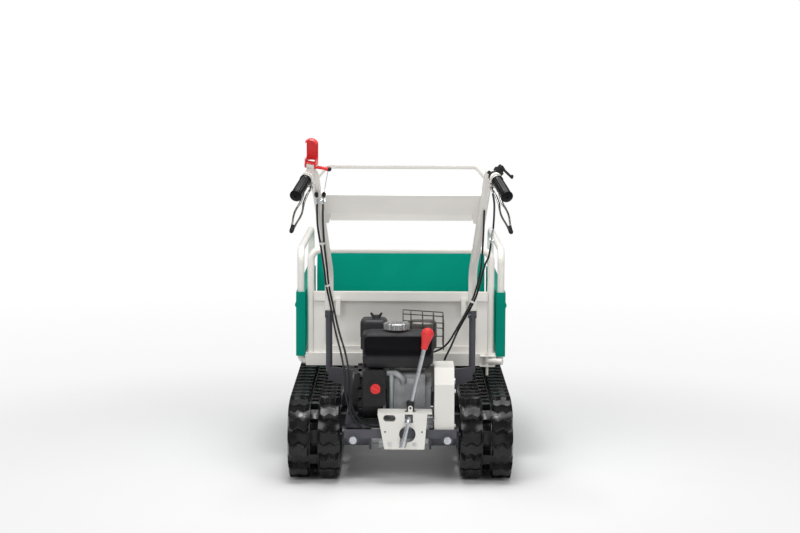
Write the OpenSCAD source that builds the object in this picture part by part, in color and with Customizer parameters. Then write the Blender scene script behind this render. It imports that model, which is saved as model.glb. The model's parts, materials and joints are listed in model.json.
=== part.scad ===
// Tracked power carrier: two rubber tracks, engine and gearbox at the back, load bed in front.
// Millimetres, +Z up, +Y forward. The ground is Z = 0 and the origin lies under the middle.
// Inside the modules Y is counted from the drive axle, and machine() moves all to the origin.

/* [Tracks] */
// Width of each rubber track
track_w = 180; // [160:5:200]
// Distance between the centre lines of the two tracks
track_gauge = 592; // [588:4:640]
// Length of one track link
track_pitch = 72; // [71:1:75]
// Links in each track
track_links = 34; // [34:1:37]
// Teeth on each drive sprocket
sprocket_teeth = 9; // [9:1:10]
// Belt thickness inside its pitch line
belt_in = 8; // [6:1:10]
// Belt thickness outside its pitch line
belt_out = 18; // [14:1:22]
// Height of the ground lugs
lug_h = 20; // [14:1:24]
// Length of a ground lug along the track
lug_len = 38; // [30:1:44]
// Depth of the wave in a lug's edges
lug_wave = 7; // [3:1:9]
// Width of a window in the belt
window_w = 24; // [20:1:28]
// Length of a window along the belt
window_l = 36; // [28:1:40]
// Height of the guide horns inside the belt
horn_h = 16; // [10:1:18]

/* [Running gear] */
// Diameter of a bottom roller
roller_d = 80; // [64:2:84]
// Distance between neighbouring bottom rollers
roller_pitch = 190; // [175:5:200]
// Gap between the two halves of a roller or idler
wheel_gap = 60; // [56:2:68]
// Width of each half of a roller or idler
wheel_face = 22; // [16:1:26]
// Diameter of a roller pin
roller_pin_d = 16; // [12:1:20]
// Diameter of an idler pin
idler_pin_d = 20; // [16:1:24]
// Diameter of a drive axle shaft
axle_d = 30; // [24:1:36]
// Width of a track beam
beam_w = 60; // [50:2:70]
// Thickness of the roller brackets and tensioner arms
bracket_t = 6; // [5:1:8]

/* [Chassis] */
// Height of the engine plate's top above the drive axle
plate_rise = 48; // [48:1:60]
// Thickness of the engine plate
plate_t = 10; // [6:1:12]
// Thickness of the side plates and the rear flange
side_t = 6; // [4:1:8]
// Outside diameter of an axle housing
housing_d = 60; // [50:1:68]
// Width of the spine under the bed
spine_w = 110; // [90:2:130]
// Height of the spine
spine_h = 62; // [50:2:70]
// Width of a cross tube along the machine
cross_w = 50; // [40:2:60]
// Distance from the front idler to the bed hinge
hinge_ahead = 100; // [60:5:140]
// Diameter of the bed hinge pin
hinge_pin_d = 16; // [12:1:20]

/* [Transmission] */
// Width of the gearbox
gearbox_w = 200; // [190:2:220]
// Depth of the gearbox below the drive axle
gearbox_drop = 32; // [30:1:40]
// Diameter of the gearbox input shaft
input_d = 20; // [16:1:24]
// Diameter of the gearbox pulley
input_pulley_d = 80; // [70:2:90]
// Diameter of the engine pulley
engine_pulley_d = 84; // [70:2:90]
// Width of the drive belt
vbelt_w = 12; // [10:1:14]
// Thickness of the drive belt
vbelt_t = 9; // [7:1:10]
// Sheet thickness of the belt cover
cover_t = 2.5; // [1.5:0.5:4]
// Width of the belt cover
cover_w = 68; // [60:2:70]
// Sheet thickness of the gate plate
gate_t = 3; // [2:0.5:5]
// Diameter of the gear lever's rod
lever_rod_d = 14; // [12:0.5:15]

/* [Engine] */
// Height of the crankshaft above the engine plate
crank_h = 106; // [104:1:116]
// Distance of the crankshaft ahead of the drive axle
crank_y = 60; // [56:1:70]
// Diameter of the crankshaft
crank_d = 25; // [20:1:28]
// Radius of the fan shroud
shroud_r = 98; // [90:1:102]
// Wall of the fan shroud and the recoil starter
shroud_t = 3; // [2:0.5:4]
// Width of the fuel tank
tank_w = 244; // [220:2:250]
// Height of the fuel tank above its chin
tank_h = 90; // [80:1:100]
// Wall of the fuel tank
tank_t = 3; // [2:0.5:5]
// Diameter of the fuel cap
cap_d = 92; // [80:1:96]
// Length of the muffler across the machine
muffler_l = 128; // [110:2:136]
// Depth of the muffler
muffler_deep = 94; // [84:2:104]
// Height of the muffler
muffler_h = 100; // [90:2:106]
// Diameter of the wires of the muffler guard
guard_wire = 4; // [3:0.5:5]

/* [Handlebar] */
// Diameter of the handlebar tube
bar_d = 30; // [28:0.5:31]
// Diameter of a handle post
post_d = 23; // [21:0.5:24]
// Distance of a handle post from the middle
post_x = 253; // [248:1:260]
// Height of the handlebar's lower ends above the ground
post_top = 562; // [550:2:590]
// How far the posts reach into the handlebar
bar_sunk = 80; // [60:5:85]
// Height of the knees above the handlebar's lower ends
knee_rise = 138; // [132:2:150]
// How far the apexes lie outward of the handle posts
apex_out = 37; // [24:1:50]
// How far the apexes lie behind the handle posts
apex_back = 462; // [420:2:500]
// Height of the apexes above the handlebar's lower ends
apex_rise = 528; // [500:2:550]
// Diameter of the hoop between the handles
top_bar_d = 20; // [16:1:24]
// Length of a grip
grip_len = 107; // [96:1:125]
// Diameter of a grip
grip_d = 36; // [35:0.5:38]
// Diameter of a grip's end flange
grip_flange_d = 40; // [36:0.5:44]
// Height of the crossmember's web
cross_web = 106; // [90:2:108]
// Sheet thickness of the crossmember
cross_t = 2; // [1.5:0.5:3]

/* [Controls] */
// Length of a steering lever
steer_len = 176; // [160:2:190]
// Rest angle of a steering lever below its grip
steer_drop = 30; // [26:1:34]
// Outward slant of a steering lever
steer_out = 6; // [0:1:8]
// Thickness of a steering lever
steer_t = 8; // [5:0.5:10]
// Length of the clutch lever
clutch_len = 96; // [88:1:108]
// Width of the clutch lever
clutch_w = 38; // [36:1:42]
// Turn of the clutch lever round its handle, towards the middle
clutch_turn = 9; // [0:1:14]
// Turn of the throttle round its handle, outward
throttle_lean = 35; // [20:1:40]
// Diameter of the control cables
cable_d = 7; // [5:0.5:8]

/* [Load bed] */
// Inside length of the bed
bed_l = 880; // [860:5:900]
// Width of the bed frame
bed_w = 682; // [676:2:720]
// Height of the bed frame with its floor
bed_h = 43; // [42:1:54]
// Clearance between the tracks and the bed frame
bed_clear = 65; // [62:1:80]
// Distance from the drive axle to the bed's back
bed_back = 285; // [280:1:300]
// Depth of the box sections across the bed's ends
sill_d = 45; // [42:1:52]
// Sheet thickness of the bed
bed_t = 3; // [2:0.5:4]
// Thickness of a side panel
panel_t = 33; // [32:1:38]
// Height of a side panel
panel_h = 231; // [200:1:250]
// Diameter of the hoop tubes
hoop_d = 25; // [22:0.5:26]
// Height of the hoops' centre lines above the floor
hoop_rise = 373; // [330:1:400]
// Bend radius of the hoops
hoop_bend = 45; // [40:1:60]
// Height of the front panel
front_h = 340; // [310:5:350]
// Lean of the front panel's upper part
front_lean = 32; // [20:1:44]
// Diameter of the front slide bars
front_bar_d = 18; // [14:1:20]
// Distance of the front slide bars from the middle
front_bar_x = 110; // [104:2:150]

/* [Clearances] */
// Clearance round a turning shaft or pin, on the radius
run_fit = 0.05; // [0.02:0.01:0.1]
// Clearance round a sliding bar, on the radius
slide_fit = 0.5; // [0.3:0.1:1]
// Gap between a wheel and the belt that it runs on
roll_gap = 0.6; // [0.4:0.1:1]
// Gap between pieces that pass each other
part_gap = 2; // [1:0.5:3]
// Gap between the belt cover and the side plate
cover_gap = 2; // [1:0.5:4]
// Gap between the fuel tank and the belt cover
tank_gap = 3; // [1:0.5:6]
// Gap where two flat faces are bolted together
seat_gap = 0.05; // [0.02:0.01:0.1]

/* [Hidden] */
$fn = 48;

// A tube swells a little in its bends, and its straight runs lap into them
bend_swell = 0.3;
latch_x = 310;
latch_pin_d = 10;
bend_lap = 1;
seam_turn = 37;

// Track loop: pitch circle of the sprocket, belt faces and wheel base
pitch_r = sprocket_teeth * track_pitch / (2 * PI);
belt_ri = pitch_r - belt_in;
belt_ro = pitch_r + belt_out;
lug_r = belt_ro + lug_h;
wheel_base = (track_links * track_pitch - 2 * PI * pitch_r) / 2;
half_turn = PI * pitch_r;
axle_z = lug_r;
track_top = 2 * lug_r;
track_x = track_gauge / 2;
lane_x = track_x - track_w / 2;

// Wheels inside the loop
wheel_out = wheel_gap / 2 + wheel_face;
wheel_r = belt_ri - roll_gap;
roller_z = axle_z - belt_ri + roll_gap + roller_d / 2;
roller_hub_d = roller_d - 2 * horn_h - 12;
bracket_x = wheel_out + 4;
bracket_out = bracket_x + bracket_t;
beam_z0 = axle_z - 8;
beam_z1 = axle_z + 40;
beam_y0 = belt_ri + 30;
beam_y1 = wheel_base - belt_ri - 75;
boss_x = bracket_out + 6;

// Chassis
plate_z = axle_z + plate_rise;
plate_x = lane_x - 14;
plate_y0 = -26;
plate_y1 = bed_back + sill_d;
plate_low = plate_z - plate_t;
flange_y = -122;
flange_low = axle_z + 17;
flange_top = plate_z - 1;
plug_z = axle_z + 12;
cross_x = track_x - boss_x;
cross_y = [225, 690];
spine_top = plate_low + spine_h;
hinge_y = wheel_base + hinge_ahead;
ear_r = hinge_pin_d / 2 + 10;
ear_t = 10;
plug_x = plate_x - 31;

// Bed
bed_z = track_top + bed_clear;
floor_z = bed_z + bed_h;
bed_x = bed_w / 2;
front_y = bed_back + sill_d + bed_l;
hinge_z = bed_z - ear_r - 6;
bed_ear_x = spine_w / 2 + part_gap;
panel_x = bed_x + part_gap;
panel_z = floor_z - 9;
panel_top = panel_z + panel_h;
hoop_x = panel_x + panel_t / 2;
hoop_z = floor_z + hoop_rise;
bar_z = bed_z + bed_t + hoop_d / 2 + 1;
back_leg_y = bed_back + sill_d / 2;
front_leg_y = front_y - part_gap - sill_d / 2;
front_bar_z = bed_z - front_bar_d / 2 - part_gap;
slide_reach = 210;
rail_top = floor_z + 222;
rail_h = 32;
cross_at = 0.578;
rib_deep = 85;
rib_x = lane_x - 16;
front_bend = floor_z + 188;
front_low = front_bar_z - front_bar_d / 2 - 8;
front_top = front_low + front_h;
front_roll = 10;

// Engine and transmission
crank_z = plate_z + crank_h;
case_x0 = -60;
cover_x = plate_x - side_t - cover_gap - cover_w;
pulley_x = cover_x + cover_w / 2 + 4;
pto_x = cover_x - 11;
case_x1 = pto_x - 20;
case_y0 = -25;
case_y1 = 130;
case_top = plate_z + 185;
input_y = -58;
input_z = axle_z + 64;
block_y0 = -112;
block_y1 = -32;
block_top = input_z + 18;
gearbox_x = gearbox_w / 2;
gearbox_right = cover_x - 16;
body_x = min(gearbox_x, gearbox_right) - 26;
neck_d = axle_d + 20;
gearbox_low = axle_z - gearbox_drop;
axle_end = 45;
gate_y = -138;
gate_low = axle_z - 18;
gate_top = axle_z + 106;
gate_rise = 6;
gate_deep = 60;
pulley_w = vbelt_w + 10;
cover_back = input_y - input_pulley_d / 2 - 12;
cover_low = input_z - input_pulley_d / 2 - 7;
cover_top = crank_z + engine_pulley_d / 2 + 57;
cover_front = crank_y + engine_pulley_d / 2 + 14;
cover_heel = 15;
cover_slant = 82;
notch_y = cover_heel + (cover_front - cover_heel) * (plate_z + 6 - cover_low) / cover_slant;
spacer_x = [-36, 49];
spacer_z = axle_z + 1;
spacer_d = 20;
gate_bolt_d = 8;
foot_x = [-50, case_x1 - 11];
foot_y = 144;
foot_bolt_d = 8;
tank_x = cover_x - tank_gap - tank_w / 2;
tank_low = crank_z + shroud_r + 8;
switch_z = crank_z + 28;
switch_d = 34;
tank_chin = tank_low - 12;
tank_top = tank_low + tank_h + 22;
cap_x = tank_x - 5;
cap_y = 4;
muffler_x = 16;
muffler_y = 116;
muffler_z = tank_low + 34;

// Belt tensioner: its roller waits beside the belt's upper run
span = [crank_y - input_y, crank_z - input_z];
span_dir = span / norm(span);
span_out = [-span_dir[1], span_dir[0]];
idle_r = 18;
idle_gap = 7;
idle_arm = 55;
idle_at = [input_y, input_z] + span / 2
    + span_out * ((input_pulley_d + engine_pulley_d) / 4 + idle_r + idle_gap);
idle_pivot = idle_at + span_dir * idle_arm;
idle_stud_d = 12;

// Gear lever: pivot above the gate's flange, knob above, selector end behind the gate
gimbal = [34, gate_y + 32, gate_top + 32 * gate_rise / gate_deep + 13];
lever_top = gimbal + [45, -4, 200];
lever_neck = [33, gimbal[1], gate_top - 9];
lever_bend = [27, gate_y - 17, gate_top - 27];
lever_lean = atan2(45, 200);
lever_foot = [7, gate_y - 17, gate_low + 9];

// Handlebar: knee over the post, apex and grip direction on the right side
post_y = 172;
post_foot_x = plate_x - side_t - post_d / 2 - 4;
knee = [post_x, post_y, post_top + knee_rise];
apex = [post_x + apex_out, post_y - apex_back, post_top + apex_rise];
grip_out = [0.267, -0.856, -0.44];
knee_bend = 90;
apex_bend = 55;
grip_start = 80;
end_run = 8;
hoop_out = [apex[0] - 40, apex[1] + 62, apex[2] + 4];

// Right grip's own axes: side outward, ahead along the grip, up across it
ahead = -unit(grip_out);
side = unit(cross(ahead, [0, 0, 1]));
above = cross(side, ahead);
grip_end = apex - ahead * (grip_start + grip_len);

// End of the sloping tube, a short run before the bend at the apex
slope_end = apex + unit(knee - apex) * (trim_of(knee, apex, grip_end, apex_bend) + end_run);

// Steering lever pivot and throttle in the grip's axes
steer_pin_d = 8;
steer_pin = [0, 18 - grip_start, -bar_d / 2 - 14];
clutch_pin_d = 8;
clutch_pin = [0, -24, bar_d / 2 + 9];
clutch_eye = grip_point(leaned(clutch_pin + [-58, 0, -12], -clutch_turn));
clutch_hook = [-clutch_eye[0], clutch_eye[1], clutch_eye[2]];
throttle_pin = [4, -42, bar_d / 2 + 17];
throttle_pin_d = 8;

// The machine's middle between the grip ends and the front panel's lip
back_end = grip_end[1] - grip_flange_d / 2 * sqrt(1 - ahead[1] * ahead[1]);
front_end = front_y + front_lean + front_roll;
axle_back = -(back_end + front_end) / 2;

// Routes of the control cables, from the levers to the engine and gearbox
clutch_route = [
    [-262, -180, 964], [-265, -100, 898], [-264, 0, 808], [-258, 96, 718], [-253, 130, 655],
    [-238, 132, 583], [-217, 105, 498], [-193, 60, 426], [-179, 10, 360], [-176, -40, 290],
    [-150, -76, 225], [-110, -84, 196], [-71, -82, 190]
];
left_steer_route = [
    [-282, -180, 964], [-284, -90, 888], [-277, 0, 808], [-268, 90, 718], [-262, 126, 655],
    [-247, 128, 583], [-229, 100, 498], [-208, 52, 426], [-193, 0, 360], [-188, -48, 290],
    [-162, -90, 222], [-116, -100, 178], [-71, -98, 165]
];
right_upper_route = [[300, -310, 1008], [308, -240, 972], [312, -150, 926], [313, -72, 874]];
right_steer_route = [
    [309, -8, 820], [304, 54, 766], [292, 98, 728],
    [272, 138, 640], [252, 140, 588], [202, 116, 500], [176, 84, 446], [156, 124, 396],
    [138, 138, 330], [124, 146, 250], [118, 146, 196]
];
throttle_route = [
    [279, -150, 940], [281, -12, 822], [279, 96, 718], [263, 132, 640], [243, 132, 588],
    [193, 106, 500], [158, 89, 450], [110, 88, 424], [40, 88, 412], [-2, 100, 410],
    [-16, 140, 410], [-26, 174, 407], [-43, 176, 407]
];

function unit(v) = v / norm(v);
function grip_point(p) = apex + p[0] * side + p[1] * ahead + p[2] * above;
function leaned(p, a) = [p[0] * cos(a) + p[2] * sin(a), p[1], p[2] * cos(a) - p[0] * sin(a)];
function turn_of(a, b, c) = acos(max(-1, min(1, unit(b - a) * unit(c - b))));
function trim_of(a, b, c, r) = r * tan(turn_of(a, b, c) / 2);

// Place of a link on the loop: turn about X, then Y and Z of the pitch line
function link_turn(s) =
    s < wheel_base ? 0 :
    s < wheel_base + half_turn ? (s - wheel_base) / pitch_r * 180 / PI :
    s < 2 * wheel_base + half_turn ? 180 :
    180 + (s - 2 * wheel_base - half_turn) / pitch_r * 180 / PI;
function link_y(s) =
    s < wheel_base ? s :
    s < wheel_base + half_turn ? wheel_base + pitch_r * sin(link_turn(s)) :
    s < 2 * wheel_base + half_turn ? 2 * wheel_base + half_turn - s :
    pitch_r * sin(link_turn(s));
function link_z(s) = axle_z - pitch_r * cos(link_turn(s));

// Corner of a clockwise outline moved inward by d
function inward(a, b) = [unit(b - a)[1], -unit(b - a)[0]];
function inset(p, d) = [
    for (i = [0 : len(p) - 1])
        let (n = len(p), m1 = inward(p[(i + n - 1) % n], p[i]), m2 = inward(p[i], p[(i + 1) % n]))
            p[i] + (m1 + m2) * d / (1 + m1 * m2)
];

// Points of a smooth curve through a route, and the rings of a tube along it
function curve(p, n) = [
    for (i = [0 : len(p) - 2], k = [0 : n - 1])
        let (a = p[max(i - 1, 0)], b = p[i], c = p[i + 1], d = p[min(i + 2, len(p) - 1)], t = k / n)
            b + t / 2 * (c - a) + t * t * (a - 2.5 * b + 2 * c - d / 2)
            + t * t * t / 2 * (3 * b - 3 * c + d - a),
    p[len(p) - 1]
];
function heading(p, i) = unit(p[min(i + 1, len(p) - 1)] - p[max(i - 1, 0)]);
function across(p, i, last) = unit(last - (last * heading(p, i)) * heading(p, i));
function frames(p, i, last) =
    i >= len(p) ? [] : concat([across(p, i, last)], frames(p, i + 1, across(p, i, last)));

module machine() {
    translate([0, axle_back, 0]) children();
}

module at_grip() {
    multmatrix([
        [side[0], ahead[0], above[0], apex[0]],
        [side[1], ahead[1], above[1], apex[1]],
        [side[2], ahead[2], above[2], apex[2]],
        [0, 0, 0, 1]
    ]) children();
}

module left_side() {
    mirror([1, 0, 0]) children();
}

module both_sides() {
    children();
    left_side() children();
}

module box(low, high) {
    translate(low) cube(high - low);
}

// Outline in Y and Z, extruded along X between two faces
module along_x(x0, x1) {
    translate([x0, 0, 0]) rotate([90, 0, 90]) linear_extrude(x1 - x0) children();
}

// Outline in X and Z, extruded along Y between two faces
module along_y(y0, y1) {
    translate([0, y1, 0]) rotate([90, 0, 0]) linear_extrude(y1 - y0) children();
}

module along_z(z0, z1) {
    translate([0, 0, z0]) linear_extrude(z1 - z0) children();
}

module rod_x(x0, x1, y, z, d) {
    translate([x0, y, z]) rotate([0, 90, 0]) cylinder(h = x1 - x0, d = d);
}

module rod_y(x, y0, y1, z, d) {
    translate([x, y1, z]) rotate([90, 0, 0]) cylinder(h = y1 - y0, d = d);
}

module rod_z(x, y, z0, z1, d) {
    translate([x, y, z0]) cylinder(h = z1 - z0, d = d);
}

module rod(a, b, d) {
    v = b - a;
    translate(a) rotate([0, acos(v[2] / norm(v)), atan2(v[1], v[0])]) rotate(seam_turn)
        cylinder(h = norm(v), d = d);
}

// Round-cornered rectangle between two corners
module round_rect(low, high, r) {
    translate([low[0] + r, low[1]]) square([high[0] - low[0] - 2 * r, high[1] - low[1]]);
    translate([low[0], low[1] + r]) square([high[0] - low[0], high[1] - low[1] - 2 * r]);
    for (u = [low[0] + r, high[0] - r], v = [low[1] + r, high[1] - r]) translate([u, v]) circle(r);
}

// Quarter of a bend between the straight runs a-b and b-c
module elbow(a, b, c, r, d) {
    u = unit(b - a);
    w = unit(c - b);
    n = unit(cross(u, w));
    m = cross(n, u);
    o = b - u * trim_of(a, b, c, r) + m * r;
    multmatrix([
        [-m[0], u[0], n[0], o[0]],
        [-m[1], u[1], n[1], o[1]],
        [-m[2], u[2], n[2], o[2]],
        [0, 0, 0, 1]
    ]) rotate_extrude(angle = turn_of(a, b, c)) translate([r, 0]) circle(d = d);
}

// Round bar through points, with one bend radius or a list of them for its corners
function bend_of(r, i) = is_list(r) ? r[i - 1] : r;

module bent_bar(p, r, d) {
    last = len(p) - 1;
    for (i = [0 : last - 1]) {
        u = unit(p[i + 1] - p[i]);
        a = i == 0 ? p[0] : p[i] + u * trim_of(p[i - 1], p[i], p[i + 1], bend_of(r, i));
        b = i == last - 1 ? p[last] : p[i + 1] - u * trim_of(p[i], p[i + 1], p[i + 2], bend_of(r, i + 1));
        rod(i == 0 ? a : a - u * bend_lap, i == last - 1 ? b : b + u * bend_lap, d);
    }
    for (i = [1 : last - 1]) elbow(p[i - 1], p[i], p[i + 1], bend_of(r, i), d + bend_swell);
}

// Flexible tube along a route, eight-sided
module cable(route, d) {
    p = curve(route, 2);
    n = len(p);
    f = frames(p, 0, [0.1, 0.2, 1]);
    sides = 8;
    rings = [
        for (i = [0 : n - 1], k = [0 : sides - 1])
            let (g = cross(heading(p, i), f[i]), a = k * 360 / sides)
                p[i] + d / 2 * (cos(a) * f[i] + sin(a) * g)
    ];
    skin = [
        for (i = [0 : n - 2], k = [0 : sides - 1], half = [0, 1])
            let (q = i * sides + k, w = i * sides + (k + 1) % sides)
                half == 0 ? [q, q + sides, w] : [w, q + sides, w + sides]
    ];
    start = [for (k = [1 : sides - 2]) [0, k, k + 1]];
    stop = [for (k = [1 : sides - 2]) [(n - 1) * sides, (n - 1) * sides + k + 1, (n - 1) * sides + k]];
    polyhedron(rings, concat(skin, start, stop));
}

// Outline of the track loop at a radius round the wheels
module loop(r) {
    translate([0, axle_z]) circle(r);
    translate([wheel_base, axle_z]) circle(r);
    translate([0, axle_z - r]) square([wheel_base, 2 * r]);
}

module at_link(s) {
    translate([0, link_y(s), link_z(s)]) rotate([link_turn(s), 0, 0]) children();
}

// One wavy ground lug beside the windows
module lug() {
    x0 = window_w / 2 + 4;
    w = track_w / 2 - x0;
    wave = [-0.4, 1, -0.2, 1, -0.6];
    steps = len(wave) - 1;
    front = [for (k = [0 : steps]) [x0 + w * k / steps, lug_len / 2 + lug_wave * wave[k]]];
    back = [for (k = [steps : -1 : 0]) [x0 + w * k / steps, -lug_len / 2 + lug_wave * wave[k]]];
    along_z(-belt_out - lug_h - 4, -belt_out + 4) polygon(concat(front, back));
}

module horn() {
    x0 = window_w / 2 + 3;
    box([x0, -12, belt_in - 3], [x0 + 10, 12, belt_in + horn_h]);
}

module track() {
    color("#232324") machine() translate([track_x, 0, 0]) difference() {
        union() {
            along_x(-track_w / 2, track_w / 2) difference() {
                loop(belt_ro);
                loop(belt_ri);
            }
            intersection() {
                for (i = [0 : track_links - 1]) {
                    at_link(i * track_pitch) lug();
                    at_link((i + 0.5) * track_pitch) left_side() lug();
                }
                along_x(-track_w / 2, track_w / 2) difference() {
                    loop(lug_r);
                    loop(belt_ro - 3);
                }
            }
            for (i = [0 : track_links - 1]) at_link((i + 0.5) * track_pitch) both_sides() horn();
        }
        for (i = [0 : track_links - 1]) at_link(i * track_pitch)
            box([-window_w / 2, -window_l / 2, -belt_out - 6], [window_w / 2, window_l / 2, belt_in + 6]);
    }
}

module track_beam() {
    color("#3c3c44") machine() translate([track_x, 0, 0]) difference() {
        union() {
            box([-beam_w / 2, beam_y0, beam_z0], [beam_w / 2, beam_y1, beam_z1]);
            for (i = [0 : 2]) translate([0, wheel_base / 2 + (i - 1) * roller_pitch, 0]) {
                box([-bracket_out, -24, beam_z1 - 8], [bracket_out, 24, beam_z1]);
                both_sides() box([bracket_x, -24, roller_z], [bracket_out, 24, beam_z1]);
                both_sides() along_x(bracket_x, bracket_out) translate([0, roller_z]) circle(24);
            }
            for (y = cross_y)
                box([-boss_x, y - cross_w / 2 - 8, beam_z0], [0, y + cross_w / 2 + 8, plate_low]);
        }
        for (i = [0 : 2])
            rod_x(-bracket_out - 1, bracket_out + 1, wheel_base / 2 + (i - 1) * roller_pitch, roller_z,
                roller_pin_d + 2 * run_fit);
    }
}

module sprocket() {
    tip = sqrt(wheel_r * wheel_r - 8 * 8);
    root = wheel_r - 26;
    t = window_w / 2 - part_gap;
    color("#4a4a4e") machine() translate([track_x, 0, 0]) {
        difference() {
            union() {
                along_x(-t, t) translate([0, axle_z]) {
                    circle(root);
                    for (i = [0 : sprocket_teeth - 1]) rotate(i * 360 / sprocket_teeth)
                        polygon([[-14, 40], [-14, root], [-8, tip], [8, tip], [14, root], [14, 40]]);
                }
                rod_x(-40, 40, 0, axle_z, axle_d + 40);
                for (i = [0 : 5]) translate([0, 0, axle_z]) rotate([60 * i, 0, 0])
                    rod_x(-t - 8, t + 8, 52, 0, 14);
            }
            rod_x(-50, 50, 0, axle_z, axle_d + 2 * run_fit);
        }
        rod_x(axle_end - track_x, 46, 0, axle_z, axle_d);
    }
}

module idler() {
    color("#2b2b2e") machine() translate([track_x, wheel_base, axle_z]) difference() {
        union() {
            both_sides() along_x(wheel_gap / 2, wheel_out) circle(wheel_r);
            along_x(-wheel_out - 2, wheel_out + 2) circle(wheel_r - horn_h - 20);
        }
        both_sides() along_x(wheel_gap / 2 + 10, wheel_out + 1) difference() {
            circle(wheel_r - 10);
            circle(idler_pin_d / 2 + 16);
        }
        rod_x(-wheel_out - 3, wheel_out + 3, 0, 0, idler_pin_d + 2 * run_fit);
    }
}

module roller(i) {
    color("#2b2b2e") machine() translate([track_x, wheel_base / 2 + (i - 1) * roller_pitch, roller_z])
        difference() {
            union() {
                both_sides() rod_x(wheel_gap / 2, wheel_out, 0, 0, roller_d);
                rod_x(-wheel_out - 3, wheel_out + 3, 0, 0, roller_hub_d);
            }
            rod_x(-wheel_out - 4, wheel_out + 4, 0, 0, roller_pin_d + 2 * run_fit);
        }
}

// Yoke, adjusting rod and pin of one idler
module tensioner() {
    back = wheel_base - wheel_r - 40;
    translate([track_x, 0, 0]) {
        difference() {
            union() {
                both_sides()
                    box([bracket_x, back, axle_z - 18], [bracket_out + 2, wheel_base, axle_z + 18]);
                both_sides() along_x(bracket_x, bracket_out + 2) translate([wheel_base, axle_z]) circle(18);
                box([-bracket_out - 2, back, axle_z - 18], [bracket_out + 2, back + 16, axle_z + 18]);
                rod_y(0, beam_y1, back + 4, axle_z + 16, 26);
                rod_y(0, beam_y1 + 6, beam_y1 + 18, axle_z + 16, 38);
            }
            rod_x(-bracket_out - 3, bracket_out + 3, wheel_base, axle_z, idler_pin_d + 2 * run_fit);
        }
        rod_x(-bracket_out - 8, bracket_out + 8, wheel_base, axle_z, idler_pin_d);
    }
}

module track_tensioners() {
    color("#4a4a52") machine() both_sides() tensioner();
}

module axle_housing() {
    difference() {
        union() {
            rod_x(gearbox_x, lane_x - 4, 0, axle_z, housing_d);
            intersection() {
                rod_x(gearbox_x, gearbox_x + 8, 0, axle_z, housing_d + 28);
                box([gearbox_x - 1, -housing_d, 0], [gearbox_x + 9, housing_d, cover_low - part_gap]);
            }
            rod_x(lane_x - 12, lane_x - 4, 0, axle_z, housing_d + 14);
        }
        rod_x(gearbox_x - 1, lane_x, 0, axle_z, axle_d + 2 * part_gap);
    }
}

module chassis_frame() {
    rest_y = bed_back + sill_d / 2;
    color("#46464e") machine() {
        difference() {
            union() {
                box([-plate_x, plate_y0, plate_low], [plate_x, plate_y1, plate_z]);
                both_sides()
                    box([plate_x - side_t, flange_y, flange_low], [plate_x, plate_y1, plate_z - 4]);
                box([-plate_x, flange_y, flange_low], [plate_x, flange_y + side_t, flange_top]);
                box([-spine_w / 2, plate_y1 - 30, plate_low], [spine_w / 2, hinge_y + ear_r, spine_top]);
                for (y = cross_y)
                    box(
                        [-cross_x, y - cross_w / 2, beam_z0 + 2],
                        [cross_x, y + cross_w / 2, plate_low + 4]
                    );
                both_sides() {
                    box(
                        [spine_w / 2 - ear_t, hinge_y - ear_r, spine_top - 5],
                        [spine_w / 2, hinge_y + ear_r, hinge_z]
                    );
                    along_x(spine_w / 2 - ear_t, spine_w / 2) translate([hinge_y, hinge_z]) circle(ear_r);
                    box([140, rest_y - 14, plate_z - 1], [166, rest_y + 14, bed_z - 0.3]);
                    box([plug_x - 19, flange_y, plug_z - 6], [plug_x + 19, flange_y + side_t, flange_top]);
                    rod_y(plug_x, flange_y - 4, flange_y + side_t, plug_z, 38);
                }
            }
            both_sides() rod_x(plate_x - side_t - 1, plate_x + 1, 0, axle_z, housing_d + 16);
            rod_x(-spine_w, spine_w, hinge_y, hinge_z, hinge_pin_d + 2 * run_fit);
            both_sides() rod_y(plug_x, flange_y - 6, flange_y + side_t + 1, plug_z, 14);
            box([cover_x - 4, plate_y0 - 1, plate_low - 1], [plate_x - side_t, notch_y, plate_z + 1]);
            for (x = foot_x) rod_z(x, foot_y, plate_low - 1, plate_z + 1, foot_bolt_d + 2 * run_fit);
        }
        both_sides() axle_housing();
    }
}

// Hexagon head with its shank, pointing along -Y
module bolt_y(x, y, z, d, l) {
    translate([x, y, z]) rotate([90, 0, 0]) cylinder(h = 0.7 * d, d = 1.8 * d, $fn = 6);
    rod_y(x, y, y + l, z, d);
}

module fasteners() {
    color("#b9bcc0") machine() {
        for (i = [-1 : 1]) both_sides() translate([track_x, wheel_base / 2 + i * roller_pitch, roller_z]) {
            rod_x(-bracket_out - 4, bracket_out, 0, 0, roller_pin_d);
            rod_x(bracket_out, bracket_out + 8, 0, 0, roller_pin_d + 10);
        }
        rod_x(-bed_ear_x - 14, bed_ear_x + 14, hinge_y, hinge_z, hinge_pin_d);
        both_sides() rod_x(bed_ear_x + 14, bed_ear_x + 18, hinge_y, hinge_z, hinge_pin_d + 10);
        both_sides() difference() {
            union() {
                rod_y(plug_x, flange_y - 16, flange_y - 4, plug_z, 25);
                rod_y(plug_x, flange_y - 4, flange_y + side_t, plug_z, 13.6);
            }
            translate([plug_x, flange_y - 17, plug_z]) rotate([0, 40, 0])
                cube([30, 4, 3], center = true);
        }
        for (x = spacer_x) bolt_y(x, gate_y, spacer_z, gate_bolt_d, 30);
        rod_x(pulley_x - 14, cover_x + cover_w, idle_pivot[0], idle_pivot[1], idle_stud_d);
        rod_x(cover_x + cover_w, cover_x + cover_w + 6, idle_pivot[0], idle_pivot[1], idle_stud_d + 8);
        for (x = foot_x) {
            rod_z(x, foot_y, plate_low, plate_z + 12, foot_bolt_d);
            translate([x, foot_y, plate_z + 12]) cylinder(h = 7, d = 2 * foot_bolt_d, $fn = 6);
        }
    }
}

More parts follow.
